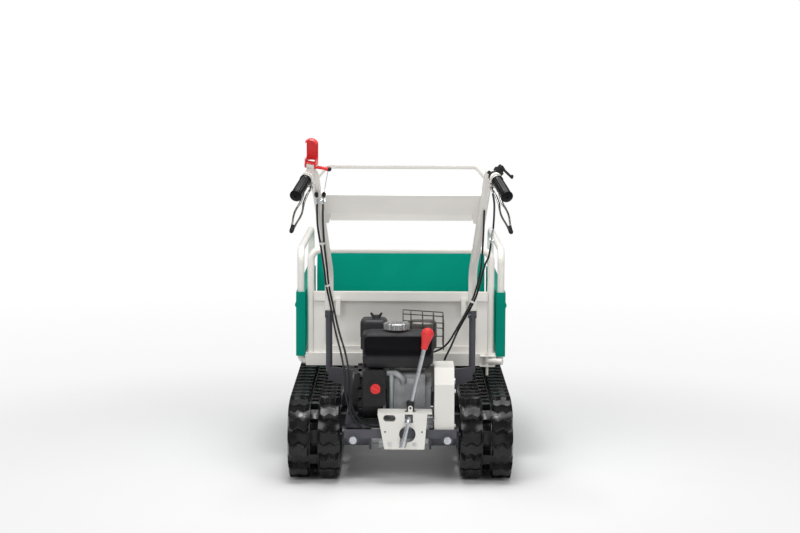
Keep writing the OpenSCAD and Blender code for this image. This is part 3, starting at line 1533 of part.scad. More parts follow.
chassis_frame();
track_beams();
left_track();
right_track();
left_sprocket();
right_sprocket();
left_idler();
right_idler();
left_roller_1();
left_roller_2();
left_roller_3();
right_roller_1();
right_roller_2();
right_roller_3();
track_tensioners();
fasteners();
gearbox();
gearbox_pulley();
drive_belt();
belt_tensioner();
belt_cover();
gate_plate();
shift_gimbal();
shift_lever();
shift_knob();
crankcase();
cylinder_block();
fan_shroud();
recoil_starter();
crankshaft();
engine_pulley();
fuel_tank();
fuel_cap();
air_cleaner();
muffler();
muffler_guard();
carburettor();
switch_knob();
handle_posts();
handlebar();
handle_ends();
handle_hoop();
crossmember();
left_grip();
right_grip();
left_steer_lever();
right_steer_lever();
clutch_lever();
throttle_body();
throttle_lever();
control_cables();
cable_adjusters();
bed_floor();
bulkhead();
left_panel();
left_hoop();
right_panel();
right_hoop();
front_panel();
latch_handle();
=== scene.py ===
import json
import math

import bmesh
import bpy
import numpy as np
from mathutils import Matrix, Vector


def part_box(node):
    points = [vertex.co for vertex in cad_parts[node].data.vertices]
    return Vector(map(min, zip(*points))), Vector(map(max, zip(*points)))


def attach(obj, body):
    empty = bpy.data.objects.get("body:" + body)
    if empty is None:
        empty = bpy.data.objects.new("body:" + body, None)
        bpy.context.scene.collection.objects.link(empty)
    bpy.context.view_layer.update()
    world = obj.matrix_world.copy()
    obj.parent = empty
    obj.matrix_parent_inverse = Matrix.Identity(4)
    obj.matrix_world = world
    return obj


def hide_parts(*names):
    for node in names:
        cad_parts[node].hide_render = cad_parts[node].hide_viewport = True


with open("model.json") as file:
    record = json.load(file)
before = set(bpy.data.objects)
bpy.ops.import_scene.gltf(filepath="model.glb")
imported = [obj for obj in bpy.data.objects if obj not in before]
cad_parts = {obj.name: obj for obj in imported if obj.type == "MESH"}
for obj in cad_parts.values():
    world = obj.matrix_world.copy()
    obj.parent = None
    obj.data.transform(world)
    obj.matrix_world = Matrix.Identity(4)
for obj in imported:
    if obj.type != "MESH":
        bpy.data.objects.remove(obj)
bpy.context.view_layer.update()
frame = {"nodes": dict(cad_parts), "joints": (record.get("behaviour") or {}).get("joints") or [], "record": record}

# Chassis: a tray of folded plate with side plates, a spine under the bed and two axle housings.
# It is welded, shot blasted and powder coated in satin anthracite, and all the rest bolts to it.
body_of = {node: body for body, nodes in frame["record"]["behaviour"]["bodies"].items() for node in nodes}


def add(tree, kind, inputs=None, **settings):
    """One shader node, each input given as a value or as the socket that feeds it."""
    node = tree.nodes.new("ShaderNode" + kind)
    for name, value in settings.items():
        setattr(node, name, value)
    for name, value in (inputs or {}).items():
        if isinstance(value, bpy.types.NodeSocket):
            tree.links.new(value, node.inputs[name])
        else:
            node.inputs[name].default_value = value
    return node


def two_tone(tree, factor, dark, light, low=0.35, high=0.65):
    """A colour that passes from dark to light as the factor goes from low to high."""
    ramp = add(tree, "ValToRGB", {"Fac": factor})
    for stop, place, colour in zip(ramp.color_ramp.elements, (low, high), (dark, light)):
        stop.position = place
        stop.color = (*colour, 1)
    return ramp.outputs["Color"]


def finish(name, colour, rough, metal=0.0, shine=0.3, drift=0.08, spread=0.06, patch=9.0, grain=900.0,
           tooth=4e-5):
    """A finish whose colour and gloss drift in soft patches, with a fine grain that tilts the surface."""
    material = bpy.data.materials.new(name)
    material.use_nodes = True
    tree = material.node_tree
    shader = tree.nodes["Principled BSDF"]
    place = add(tree, "TexCoord").outputs["Object"]
    patches = add(tree, "TexNoise", {"Vector": place, "Scale": patch, "Detail": 4.0}).outputs["Fac"]
    base = np.array(colour)
    tone = two_tone(tree, patches, base * (1 - drift), base * (1 + drift))
    gloss = add(tree, "MapRange", {"Value": patches, "To Min": rough - spread, "To Max": rough + spread})
    fine = add(tree, "TexNoise", {"Vector": place, "Scale": grain, "Detail": 2.0}).outputs["Fac"]
    bump = add(tree, "Bump", {"Height": fine, "Distance": tooth})
    tree.links.new(tone, shader.inputs["Base Color"])
    tree.links.new(gloss.outputs["Result"], shader.inputs["Roughness"])
    tree.links.new(bump.outputs["Normal"], shader.inputs["Normal"])
    shader.inputs["Metallic"].default_value = metal
    shader.inputs["Specular IOR Level"].default_value = shine
    return material


def show(name, mesh, material, body, nodes=(), edge=0.0, crease=34):
    """Puts a mesh on a body as one piece, smooth up to the crease angle, its sharper edges rounded off."""
    mesh.materials.clear()
    mesh.materials.append(material)
    mesh.shade_smooth()
    mesh.set_sharp_from_angle(angle=math.radians(crease))
    made = bpy.data.objects.new(name, mesh)
    bpy.context.scene.collection.objects.link(made)
    if edge:
        bevel = made.modifiers.new("rounded edges", "BEVEL")
        bevel.width = edge
        bevel.segments = 2
        bevel.limit_method = "ANGLE"
        bevel.angle_limit = math.radians(crease)
        bevel.harden_normals = True
    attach(made, body)
    if nodes:
        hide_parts(*nodes)
    return made


def softened(node, material, edge=0.0012, crease=34):
    """A copy of a CAD node with its triangles merged into faces and its edges rounded, in its place."""
    source = frame["nodes"][node].data
    points = np.empty(3 * len(source.vertices))
    source.vertices.foreach_get("co", points)
    corners = np.empty(len(source.loops), int)
    source.loops.foreach_get("vertex_index", corners)
    places, index = np.unique(points.reshape(-1, 3).round(6), axis=0, return_inverse=True)
    faces = index.reshape(-1)[corners].reshape(-1, 3)
    whole = (faces != np.roll(faces, 1, 1)).all(1)
    mesh = bpy.data.meshes.new(node + "_skin")
    mesh.from_pydata(places, [], faces[whole].tolist())
    work = bmesh.new()
    work.from_mesh(mesh)
    bmesh.ops.dissolve_limit(work, angle_limit=math.radians(0.4), verts=work.verts, edges=work.edges)
    work.to_mesh(mesh)
    work.free()
    return show(node + "_skin", mesh, material, body_of[node], [node], edge, crease)


anthracite = finish("anthracite_paint", (0.074, 0.074, 0.088), 0.38, shine=0.4, drift=0.10)
softened("chassis_frame", anthracite, 0.0015)

# Track beams and tensioners: box beams inside the tracks carry the rollers between cheek plates,
# and a yoke on a threaded rod pushes each idler forward. Both are coated like the chassis.
for node in ("track_beams", "track_tensioners"):
    softened(node, anthracite, 0.0015)

# Sprockets, idlers and rollers: turned and cast steel wheels that guide the tracks from inside.
# They are dipped in a thin dark paint and rubbed bare where the rubber runs.
wheel_iron = finish("wheel_iron", (0.085, 0.085, 0.092), 0.46, metal=0.6, drift=0.22, spread=0.12, patch=26)
for side in ("left", "right"):
    for node in ("sprocket", "idler", "roller_1", "roller_2", "roller_3"):
        softened(f"{side}_{node}", wheel_iron, 0.001)

# Rubber tracks: an endless moulded belt with a row of windows for the sprocket's teeth,
# wavy drafted lugs set half a pitch apart on its two halves, and guide horns inside.
joint_at = {joint["name"]: np.array(joint["pos_m"]) for joint in frame["joints"] if "pos_m" in joint}
axle = joint_at["right_drive_spin"] * 1000
wheel_base = joint_at["right_idler_spin"][1] * 1000 - axle[1]
links = 34
pitch = 72
loop_length = links * pitch
pitch_r = (loop_length - 2 * wheel_base) / (2 * math.pi)
half_turn = math.pi * pitch_r
track_half = 90
belt_in = 8
belt_out = 18
lug_tip = axle[2] - pitch_r
window = np.array([12, 18])


def place(points):
    """Millimetres from the machine's middle, drive axle and ground, as metres in the frame."""
    return (np.asarray(points, float) + [0, axle[1], 0]) / 1000


def joined(*shapes):
    """Several shapes as one list of points and one list of faces."""
    points, faces, start = [], [], 0
    for corners, polygons in shapes:
        points.append(np.asarray(corners, float))
        faces += [[start + k for k in polygon] for polygon in polygons]
        start += len(corners)
    return np.concatenate(points), faces


def skin(name, shape):
    """A mesh of a shape given in millimetres, with all its faces turned outward."""
    points, faces = shape
    mesh = bpy.data.meshes.new(name)
    mesh.from_pydata(place(points), [], faces)
    work = bmesh.new()
    work.from_mesh(mesh)
    bmesh.ops.recalc_face_normals(work, faces=work.faces)
    work.to_mesh(mesh)
    work.free()
    return mesh


def dressed(name, shape, material, body, nodes=(), edge=0.0, crease=34):
    """A shape given in millimetres, shown as one piece on a body."""
    return show(name, skin(name, shape), material, body, nodes, edge, crease)


def surface(rings, closed=False):
    """Quads between rings of points that follow each other, capped at both ends or closed to a loop."""
    rows, sides = rings.shape[:2]
    row, k = np.meshgrid(np.arange(rows if closed else rows - 1), np.arange(sides), indexing="ij")
    here, there, after = row * sides, (row + 1) % rows * sides, (k + 1) % sides
    quads = np.stack([here + k, here + after, there + after, there + k], -1).reshape(-1, 4).tolist()
    ends = [] if closed else [range(sides - 1, -1, -1), range((rows - 1) * sides, rows * sides)]
    return rings.reshape(-1, 3), quads + [list(end) for end in ends]


def mirrored(shape):
    """The same shape on the other side of the machine's middle."""
    points, faces = shape
    return points * [-1, 1, 1], faces


def on_loop(x, s, inward):
    """Place on the track: x across, s along the pitch line from under the drive axle, and inward of it.
    Along the runs the wheel centre moves with s; round the ends the angle is s over the pitch radius."""
    s = np.asarray(s, float) % loop_length
    turn = np.clip(s - wheel_base, 0, half_turn) + np.clip(s - 2 * wheel_base - half_turn, 0, half_turn)
    turn = turn / pitch_r
    run = np.minimum(s, wheel_base) - np.clip(s - wheel_base - half_turn, 0, wheel_base)
    reach = pitch_r - inward
    x, run, turn, reach = np.broadcast_arrays(x, run, turn, reach)
    return np.stack([x, run + reach * np.sin(turn), axle[2] - reach * np.cos(turn)], -1)


def strip(x0, x1, s, closed):
    """A stretch of belt: its round-cornered section, across and from out to in, at every place in s."""
    soft = 4
    mid = np.array([(x0 + x1) / 2, (belt_in - belt_out) / 2])
    reach = np.array([x1 - x0, belt_in + belt_out]) / 2
    turn = np.radians(np.arange(15, 360, 30))
    round_off = np.stack([np.cos(turn), np.sin(turn)], -1)
    section = mid + np.sign(round_off) * (reach - soft) + soft * round_off
    return surface(on_loop(section[:, 0], s[:, None], section[:, 1]), closed)


def lug(s, hand):
    """A ground lug: over x its middle line waves along s, and it narrows from the belt to its tip."""
    x = np.linspace(window[0] + 4, track_half, 9)
    wave = 7 * np.interp(x, np.linspace(x[0], x[-1], 5), [-0.4, 1, -0.2, 1, -0.6])
    root, middle = -belt_out + 3, -belt_out - 16
    along = np.array([-23, -15, -12, 12, 15, 23])
    outward = np.array([root, middle, -lug_tip, -lug_tip, middle, root])
    draft = np.array([0, 3, 6, 6, 3, 0])
    ends = np.zeros(len(x))
    ends[[0, -1]] = 1, -1
    rings = on_loop(x[:, None] + ends[:, None] * draft, s + wave[:, None] + along, outward)
    return surface(rings * [hand, 1, 1])


def horn(s, hand):
    """A guide horn: four-sided rings that shrink a little from the belt up to its top."""
    height = np.array([belt_in - 3, belt_in + 12, belt_in + 16])[:, None]
    x = hand * (20 + np.array([-5, 5, 5, -5]) * np.array([1.0, 0.9, 0.6])[:, None])
    y = s + np.array([-12, -12, 12, 12]) * np.array([1.0, 0.85, 0.6])[:, None]
    return surface(on_loop(x, y, height))


whole_loop = np.arange(0, loop_length, 12.0)
shapes = [strip(window[0], track_half, whole_loop, True), strip(-track_half, -window[0], whole_loop, True)]
for link in range(links):
    bar = np.linspace(link * pitch + window[1], (link + 1) * pitch - window[1], 4)
    shapes += [
        strip(-window[0] - 5, window[0] + 5, bar, False),
        lug(link * pitch, 1), lug((link + 0.5) * pitch, -1),
        horn((link + 0.5) * pitch, 1), horn((link + 0.5) * pitch, -1),
    ]
points, faces = joined(*shapes)
track = points + [axle[0], 0, 0], faces

rubber = finish("track_rubber", (0.009, 0.009, 0.010), 0.20, shine=0.36, drift=0.35, spread=0.07, patch=34,
                grain=420, tooth=6e-5)
for name, shape in (("right_track", track), ("left_track", mirrored(track))):
    dressed(name + "_rubber", shape, rubber, "chassis", [name], 0.0018, 30)

# Fasteners: zinc-plated roller pins, hinge pin, slotted filler plugs and hexagon bolts.
# The clear passivation leaves them bright with a faint blue tint.
zinc = finish("zinc_plate", (0.66, 0.69, 0.72), 0.30, metal=0.8, drift=0.10, spread=0.08, patch=60)
softened("fasteners", zinc, 0.0006)

# Transmission: a cast gearbox under the engine plate takes its drive through a slack belt,
# which an arm on the cover's stud presses tight. Pulleys and arm are turned or cut from bare steel.
cast = finish("cast_aluminium", (0.42, 0.43, 0.44), 0.44, metal=0.62, drift=0.16, spread=0.10, patch=30,
              grain=520, tooth=9e-5)
bare_steel = finish("machined_steel", (0.33, 0.34, 0.35), 0.34, metal=1.0, drift=0.12, patch=40)
belt_rubber = finish("belt_rubber", (0.016, 0.016, 0.017), 0.66, drift=0.2, patch=50)
softened("gearbox", cast, 0.002)
for node in ("gearbox_pulley", "engine_pulley", "crankshaft", "belt_tensioner"):
    softened(node, bare_steel, 0.0006)
softened("drive_belt", belt_rubber, 0.0006)

# Belt cover: a pressed steel box over both pulleys, with a fold across its sloping back.
# It is powder coated in the same warm white as the bed and the handlebar.
white = finish("white_paint", (0.735, 0.715, 0.675), 0.33, drift=0.025, spread=0.05, patch=7, grain=700,
               tooth=2.5e-5)
softened("belt_cover", white, 0.004)

# Gate plate and gimbal: a folded white sheet on spacers behind the gearbox, pierced for the lever's foot.
# Two ears on it carry a moulded gimbal block.
black_plastic = finish("black_plastic", (0.018, 0.018, 0.019), 0.42, drift=0.15, spread=0.08, patch=30,
                       grain=1400, tooth=5e-5)
softened("gate_plate", white, 0.001)
softened("shift_gimbal", black_plastic, 0.0012)

# Gear lever: a bent zinc-plated rod through the gimbal, its foot in the gate, with a cross pin.
# A moulded red knob is pressed on its top.


def unit(vector):
    """The same direction with length one."""
    vector = np.asarray(vector, float)
    return vector / np.linalg.norm(vector)


def rounded(corners, bends, steps=8):
    """A line through corners, each inner one taken round by an arc centred on the corner's bisector."""
    corners = np.asarray(corners, float)
    path = [corners[0]]
    for a, b, c, bend in zip(corners, corners[1:], corners[2:], np.broadcast_to(bends, len(corners) - 2)):
        u, w = unit(b - a), unit(c - b)
        turn = math.acos(np.clip(u @ w, -1, 1))
        inner, along = unit(w - u), unit(u + w)
        centre = b + inner * bend / math.cos(turn / 2)
        for s in np.linspace(-turn / 2, turn / 2, steps + 1):
            path.append(centre + bend * (math.sin(s) * along - math.cos(s) * inner))
    return np.array(path + [corners[-1]])


off_axis = np.array([0.31, 0.93, 0.17])


def tube(path, radius, sides=20):
    """A round bar: at each point of the path a circle of its radius, square to it and free of twist."""
    path = np.asarray(path, float)
    heading = np.gradient(path, axis=0)
    heading /= np.linalg.norm(heading, axis=1)[:, None]
    across, last = [], np.cross(heading[0], off_axis)
    for ahead in heading:
        last = unit(last - ahead * (last @ ahead))
        across.append(last)
    across = np.array(across)[:, None]
    turn = np.linspace(0, 2 * math.pi, sides, endpoint=False)[:, None]
    circle = np.cos(turn) * across + np.sin(turn) * np.cross(heading[:, None], across)
    return surface(path[:, None] + np.broadcast_to(radius, len(path))[:, None, None] * circle)


def lathe(profile, base, axis, sides=36):
    """A turned piece: each point of the profile, so far along the axis and from it, goes once round."""
    axis = unit(axis)
    across = unit(np.cross(axis, off_axis))
    turn = np.linspace(0, 2 * math.pi, sides, endpoint=False)[:, None]
    circle = np.cos(turn) * across + np.sin(turn) * np.cross(axis, across)
    profile = np.asarray(profile, float)
    return surface(np.asarray(base) + profile[:, :1, None] * axis + profile[:, 1:, None] * circle)


gimbal_at = joint_at["shift_select"] * 1000 - [0, axle[1], 0]
lever_reach = [45, -4, 200]
lever_top = gimbal_at + lever_reach
lever_line = gimbal_at + [lever_reach, [0, 0, 0], [-1, 0, -25.2], [-7, -49, -43.2], [-27, -49, -131.2]]
rod = joined(
    tube(rounded(lever_line, 10), 7),
    lathe([(-13, 3), (13, 3)], gimbal_at, [1, 0, 0], 16),
)
dressed("gear_lever_rod", rod, zinc, "gear_lever", ["shift_lever"], 0.0006)

knob_profile = [(0, 9), (0.6, 10.6), (4, 11.3), (20, 13.2), (36, 17), (48, 20.4)]
knob_profile += [(55 + 21.5 * math.sin(a), 21.5 * math.cos(a)) for a in np.radians(np.arange(-6, 90, 8))]
knob = lathe(knob_profile, lever_top, lever_top - gimbal_at)
red = finish("red_plastic", (0.72, 0.042, 0.042), 0.30, drift=0.06, patch=40, grain=1200, tooth=2e-5)
dressed("gear_lever_knob", knob, red, "gear_lever", ["shift_knob"], crease=50)

# Engine block: a die-cast crankcase with ribs, a finned cylinder that leans forward, and the carburettor.
# The castings are left as they come from the mould, apart from the machined joint faces.
softened("crankcase", cast, 0.003)
softened("cylinder_block", cast, 0.0012)
softened("carburettor", cast, 0.0015)

# Breather hoses: a clear plastic pipe and a rubber hose that hang down the crankcase's back.
# The short elbow above them belongs to the filler, and is cast and left bare.
clear_pipe = finish("clear_pipe", (0.42, 0.48, 0.47), 0.22, drift=0.06, patch=30, tooth=1e-5)
pipe_line = rounded([[-32, -42, 366], [-33, -46, 340], [-33, -38, 300], [-33, -23, 214]], 20)
dressed("breather_pipe", tube(pipe_line, 8.4, 20), clear_pipe, "chassis", (), crease=60)
hose_rubber = finish("hose_rubber", (0.016, 0.016, 0.017), 0.42, drift=0.15, patch=50)
hose_line = rounded([[-46, -38, 366], [-45, -56, 346], [-44, -58, 300], [-44, -40, 214]], 16)
dressed("drain_hose", tube(hose_line, 6.5, 20), hose_rubber, "chassis", (), crease=60)
elbow_line = rounded([[-52, -40, 370], [-18, -42, 372], [6, -38, 354], [10, -28, 336]], 14)
elbow = tube(elbow_line, np.interp(np.arange(len(elbow_line)), [0, len(elbow_line) - 1], [11, 13]), 24)
dressed("filler_elbow", elbow, cast, "chassis", (), crease=60)

# Fan shroud and recoil starter: moulded black covers over the flywheel, bolted to the crankcase.
# The shroud carries the switch's round bezel, and the starter is slotted for the cooling air.
softened("fan_shroud", black_plastic, 0.003)
softened("recoil_starter", black_plastic, 0.0012)

# Switch knob: a red moulded knob with a raised bar to turn it by,
# pressed on the switch's shaft inside the shroud's bezel.
softened("switch_knob", red, 0.0012)

# Fuel tank: a blow-moulded black body in stepped tiers, bolted over the crankcase, with its neck on top.
# A glossy panel lies on its back, above a matt chin.
tank_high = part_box("fuel_tank")[1].z * 1000
tank_mid, tank_half = -9, 122
tank_top = tank_high - 12
cap_at = np.array([-14, 4, tank_top])


def round_rect(width, depth, radius, steps=5):
    """A rectangle's outline about its middle, each corner a quarter circle."""
    turn = np.linspace(0, math.pi / 2, steps + 1) + np.arange(4)[:, None] * math.pi / 2
    signs = np.array([[1, 1], [-1, 1], [-1, -1], [1, -1]])[:, None]
    arcs = radius * np.stack([np.cos(turn), np.sin(turn)], -1)
    return (arcs + signs * (np.array([width, depth]) / 2 - radius)).reshape(-1, 2)


def stack(middle, size, corner, tiers):
    """A moulded box: the outline of its plan, drawn in by each tier's inset at that tier's height."""
    rings = []
    for height, inset in tiers:
        plan = round_rect(size[0] - 2 * inset, size[1] - 2 * inset, max(corner - inset, 2))
        rings.append(np.column_stack([plan + middle, np.full(len(plan), height)]))
    return surface(np.array(rings))


tiers = [
    (401, 10), (404, 3), (410, 0.5), (428, 0), (429, 2.5), (432, 2.5), (433, 0), (498, 0), (503, 1.5),
    (506, 5), (507, 10), (507.4, 15), (509.4, 17), (510, 26), (512, 28), (512.6, 38), (513.1, 44),
]
tank_body = stack([tank_mid, 8], [2 * tank_half, 140], 22, tiers)
neck = lathe([(-6, 36), (8, 36), (11, 34)], cap_at, [0, 0, 1])
chin_tiers = [(389.5, 15), (391, 9), (396, 5), (410, 2), (428.6, 0)]
chin = stack([tank_mid, -37], [2 * tank_half - 14, 50], 16, chin_tiers)
satin = finish("tank_plastic", (0.024, 0.024, 0.026), 0.46, shine=0.26, drift=0.12, spread=0.06, patch=24,
               grain=1500, tooth=9e-5)
dressed("fuel_tank_body", joined(tank_body, neck, chin), satin, "chassis", ["fuel_tank"],
        crease=40)

panel_outline = round_rect(2 * tank_half - 14, 66, 14)
panel_at = np.array([tank_mid, 467])
panel_rings = []
for y, grow in ((-58, 1.0), (-62.6, 1.0), (-63.6, 0.992), (-64, 0.97)):
    panel_rings.append(np.insert(panel_outline * grow + panel_at, 1, y, axis=1))
gloss = finish("gloss_black", (0.006, 0.006, 0.007), 0.12, shine=0.07, drift=0.1, spread=0.03, patch=12,
               tooth=4e-6)
dressed("fuel_tank_panel", surface(np.array(panel_rings)), gloss, "chassis", (), crease=60)

# Fuel cap: a silver moulded cap that turns on the tank's neck.
# Its skirt is scalloped for the fingers, and its top is dished.
turn = np.linspace(0, 2 * math.pi, 144, endpoint=False)
scallop = 3.2 * np.clip(np.cos(12 * turn), 0, 1) ** 2
cap_profile = [
    (4, 44, 1), (5, 46, 1), (21, 46, 1), (24.5, 45, 0.6), (26.5, 42, 0.2), (27.4, 38, 0), (27.4, 20, 0),
    (26, 18, 0), (26, 2, 0),
]
cap_rings = []
for height, radius, depth in cap_profile:
    reach = radius - depth * scallop
    round_it = np.stack([reach * np.cos(turn), reach * np.sin(turn), np.full(len(turn), height)], -1)
    cap_rings.append(cap_at + round_it)
silver = finish("silver_plastic", (0.50, 0.505, 0.51), 0.26, metal=0.8, drift=0.06, patch=40, grain=1500,
                tooth=2e-5)
dressed("fuel_cap_shell", surface(np.array(cap_rings)), silver, "tank_cap", ["fuel_cap"],
        crease=45)

# Air cleaner: a dark moulded lid over the filter, at the carburettor's intake.
# A black wing nut on the filter's stud holds it down.
lid_tiers = [
    (429, 8), (433, 1), (470, 1), (471, 2.5), (474, 2.5), (475, 0), (521, 0), (529, 2.5), (534, 7),
    (536.6, 13), (537, 20),
]
lid = stack([-94, 149], [96, 110], 22, lid_tiers)
dressed("air_cleaner_lid", lid, satin, "chassis", ["air_cleaner"], crease=40)
nut_at = np.array([-86, 140, 536])
nut = [lathe([(0, 14), (3, 14), (5, 10), (12, 9), (14, 7)], nut_at, [0, 0, 1])]
for hand in (-1, 1):
    wing_line = nut_at + np.array([[0, 0, 2], [8, 0, 5], [16, 0, 16], [19, 0, 21]]) * [hand, 1, 1]
    nut.append(tube(rounded(wing_line, 4), np.linspace(6.5, 3.6, 20), 12))
dressed("wing_nut", joined(*nut), black_plastic, "chassis", (), crease=50)

# Muffler and its guard: a pressed steel box with a seam round it, stained by heat.
# The guard over it is a cage of welded wire with a sloping top.
heat = finish("heat_steel", (0.125, 0.118, 0.112), 0.46, metal=0.8, drift=0.25, spread=0.1, patch=30)
wire = finish("guard_wire", (0.060, 0.056, 0.052), 0.40, metal=0.5, drift=0.15, patch=40)
shell_tiers = [
    (431, 6), (434, 1), (472, 1), (473.5, 0), (476.5, 0), (478, 1), (514, 1), (522, 4), (526.5, 11),
    (528, 20),
]
shell = stack([76, 164], [104, 90], 24, shell_tiers)
dressed("muffler_shell", shell, heat, "chassis", ["muffler"], crease=40)
guard_left, guard_right = 8, 150
guard_low, guard_back, guard_mid, guard_front = 431, 100, 158, 224
shoulder, crown, brow = 541, 553, 559
sag = 9
sag_above = 500
wire_r = 2


def sagged(path):
    """A wire of the guard, whose upper part sinks evenly from left to right."""
    points = np.array(path, float)
    share = (points[:, 0] - guard_left) / (guard_right - guard_left)
    points[:, 2] -= sag * share * (points[:, 2] > sag_above)
    return points


cage = []
for x in (guard_left, 36, 77, 116, guard_right):
    upright = [
        [x, guard_back, guard_low], [x, guard_back, shoulder], [x, guard_mid, crown],
        [x, guard_front, brow], [x, guard_front, guard_low],
    ]
    cage.append(tube(rounded(sagged(upright), 14), wire_r, 10))
level_wires = [(guard_back, z) for z in (440, 480, 517, shoulder - 6)]
level_wires += [(guard_mid - 8, crown - 1), (guard_front - 12, brow)]
for y, z in level_wires:
    cage.append(tube(sagged([[x, y, z] for x in (guard_left, 79, guard_right)]), wire_r, 10))
for x in (guard_left, guard_right):
    for z in (440, 480):
        cage.append(tube([[x, y, z] for y in (guard_back, guard_mid, guard_front)], wire_r, 10))
dressed("muffler_cage", joined(*cage), wire, "chassis", ["muffler_guard"], crease=60)

# Handle posts: two bent tubes with gusset plates, welded to the engine plate and coated like it.
# Each reaches up into the bored end of a handlebar tube, with a collar and a cross bolt.
softened("handle_posts", anthracite, 0.0012)

# Handlebar: bent tube in one run on each side, from post through knee and apex to the grip,
# joined near the top by a slimmer hoop. Lever clamps and the clutch lug are welded on before coating.
knee = np.array([253, 172, 700])
apex = knee + [37, -462, 390]
back = unit([0.267, -0.856, -0.44])
side = unit(np.cross([0, 0, 1], back))
side = -side if side[0] < 0 else side
above = np.cross(side, -back)


def at_grip(points):
    """Points about the right apex, given as out to the side, forward along the grip and above it."""
    return apex + np.asarray(points, float) @ np.array([side, -back, above])


def slab(low, high):
    """A box between two corners."""
    corners = [[x, y, z] for x in (low[0], high[0]) for y in (low[1], high[1]) for z in (low[2], high[2])]
    sides = [[0, 1, 3, 2], [4, 6, 7, 5], [0, 4, 5, 1], [2, 3, 7, 6], [0, 2, 6, 4], [1, 5, 7, 3]]
    return np.array(corners, float), sides


def leaned(shape, angle):
    """A shape in the grip's axes, turned round the grip by an angle."""
    c, s = math.cos(angle), math.sin(angle)
    return np.asarray(shape[0]) @ np.array([[c, 0, -s], [0, 1, 0], [s, 0, c]]), shape[1]


def gripped(shape):
    """A shape in the right grip's own axes, put in its place."""
    return at_grip(shape[0]), shape[1]


bar_r = 15
bar_end = 179
bar_line = rounded([[253, 172, 562], knee, apex, apex + back * bar_end], [90, 55], 16)
steer_pin = np.array([0, -62, -29])
clutch_pin = np.array([0, -24, 24])
clamp = joined(
    lathe([(-68, 15), (-68, 18.4), (-67.4, 19), (-58.6, 19), (-58, 18.4), (-58, 15)], [0, 0, 0], [0, 1, 0]),
    slab([-7, -68, -29], [7, -54, -8]),
    lathe([(-7, 8), (7, 8)], steer_pin, [1, 0, 0], 24),
    lathe([(-14, 3), (-14, 4), (14, 4), (14, 3)], steer_pin, [1, 0, 0], 16),
)
lug_block = joined(
    slab([-13, -30, 4], [13, -18, 24]),
    lathe([(-13, 9.5), (13, 9.5)], clutch_pin, [1, 0, 0], 24),
    lathe([(-22, 4), (22, 4)], clutch_pin, [1, 0, 0], 16),
)
clutch_turn = math.radians(-9)
hoop_joint = knee + (apex - knee) * 0.9
hoop_out = np.array([250, -228, 1094])
other = np.array([-1, 1, 1])
hoop_line = rounded([hoop_joint, hoop_out, hoop_out * other, hoop_joint * other], 30, 10)
right_bar = joined(tube(bar_line, bar_r, 28), gripped(clamp))
left_lug = mirrored(gripped(leaned(lug_block, clutch_turn)))
bars = joined(right_bar, mirrored(right_bar), left_lug, tube(hoop_line, 10, 24))
dressed("handlebar_tubes", bars, white, "chassis", ["handlebar", "handle_ends", "handle_hoop"],
        0.0006, 50)

# Crossmember: a folded sheet between the sloping tubes, with a flat top flange and a bent lower lip.
# Gussets close its ends, and it is coated like the tubes.
softened("crossmember", white, 0.0012)

# Grips: moulded rubber sleeves pushed on the handlebar's ends, with a flange at both ends of each.
# They are fluted along their length between the flanges.
grip_from = 80
turn = np.linspace(0, 2 * math.pi, 96, endpoint=False)
flutes = 0.8 * np.clip(np.cos(16 * turn), -0.2, 1)
grip_profile = [
    (0, 15.2, 0), (0, 19, 0), (1, 20, 0), (5, 20, 0), (6.5, 18.6, 0), (10, 17.6, 0), (14, 18, 1),
    (54, 18.4, 1), (92, 18, 1), (96, 17.6, 0), (100, 18.4, 0), (102, 20, 0), (106, 20, 0), (107, 19, 0),
    (107, 5, 0), (104, 4.4, 0), (104, 0.6, 0),
]
grip_rings = []
for along, radius, depth in grip_profile:
    reach = radius - depth * flutes
    station = np.full(len(turn), -grip_from - along)
    grip_rings.append(np.stack([reach * np.cos(turn), station, reach * np.sin(turn)], -1))
grip = gripped(surface(np.array(grip_rings)))
grip_rubber = finish("grip_rubber", (0.006, 0.006, 0.007), 0.26, shine=0.20, drift=0.2, patch=40,
                     grain=1100, tooth=5e-5)
for name, shape in (("right_grip", grip), ("left_grip", mirrored(grip))):
    dressed(name + "_sleeve", shape, grip_rubber, "chassis", [name], crease=50)

# Steering levers: two bowed flat legs per lever, riveted at the tip, plated, and hung on a pin below
# the grip. The tip is dipped in black vinyl.
drop = math.radians(30)
slant = math.radians(8)
tilt = np.array([[1, 0, 0], [0, math.cos(drop), math.sin(drop)], [0, -math.sin(drop), math.cos(drop)]])


def at_lever(shape):
    """A shape in the right lever's own axes, swung down by its drop and put on its pin."""
    return gripped((shape[0] @ tilt + steer_pin, shape[1]))


def splayed(shape):
    """A shape in the lever's axes, slanted outward in the lever's own plane."""
    c, s = math.cos(slant), math.sin(slant)
    return np.asarray(shape[0]) @ np.array([[c, s, 0], [-s, c, 0], [0, 0, 1]]), shape[1]


def leg(hand):
    """One leg: over its length the middle line bows outward, with a flat round-edged section across."""
    y = np.linspace(-18, -174, 25)
    bow = [9.6, 6.2, 6.0, 11.4, 13.0, 11.6, 6.6, 3.4]
    middle = np.interp(-y, [18, 44, 70, 92, 108, 124, 146, 174], bow)
    wide = np.interp(-y, [18, 44, 70, 92, 174], [3.0, 4.4, 4.4, 3.1, 3.2])
    turn = np.radians(np.arange(22.5, 360, 45))
    return surface(np.stack([
        hand * (middle[:, None] + wide[:, None] * np.cos(turn)),
        np.broadcast_to(y[:, None], (len(y), len(turn))),
        4.2 * np.sin(turn) + 0 * y[:, None],
    ], -1))


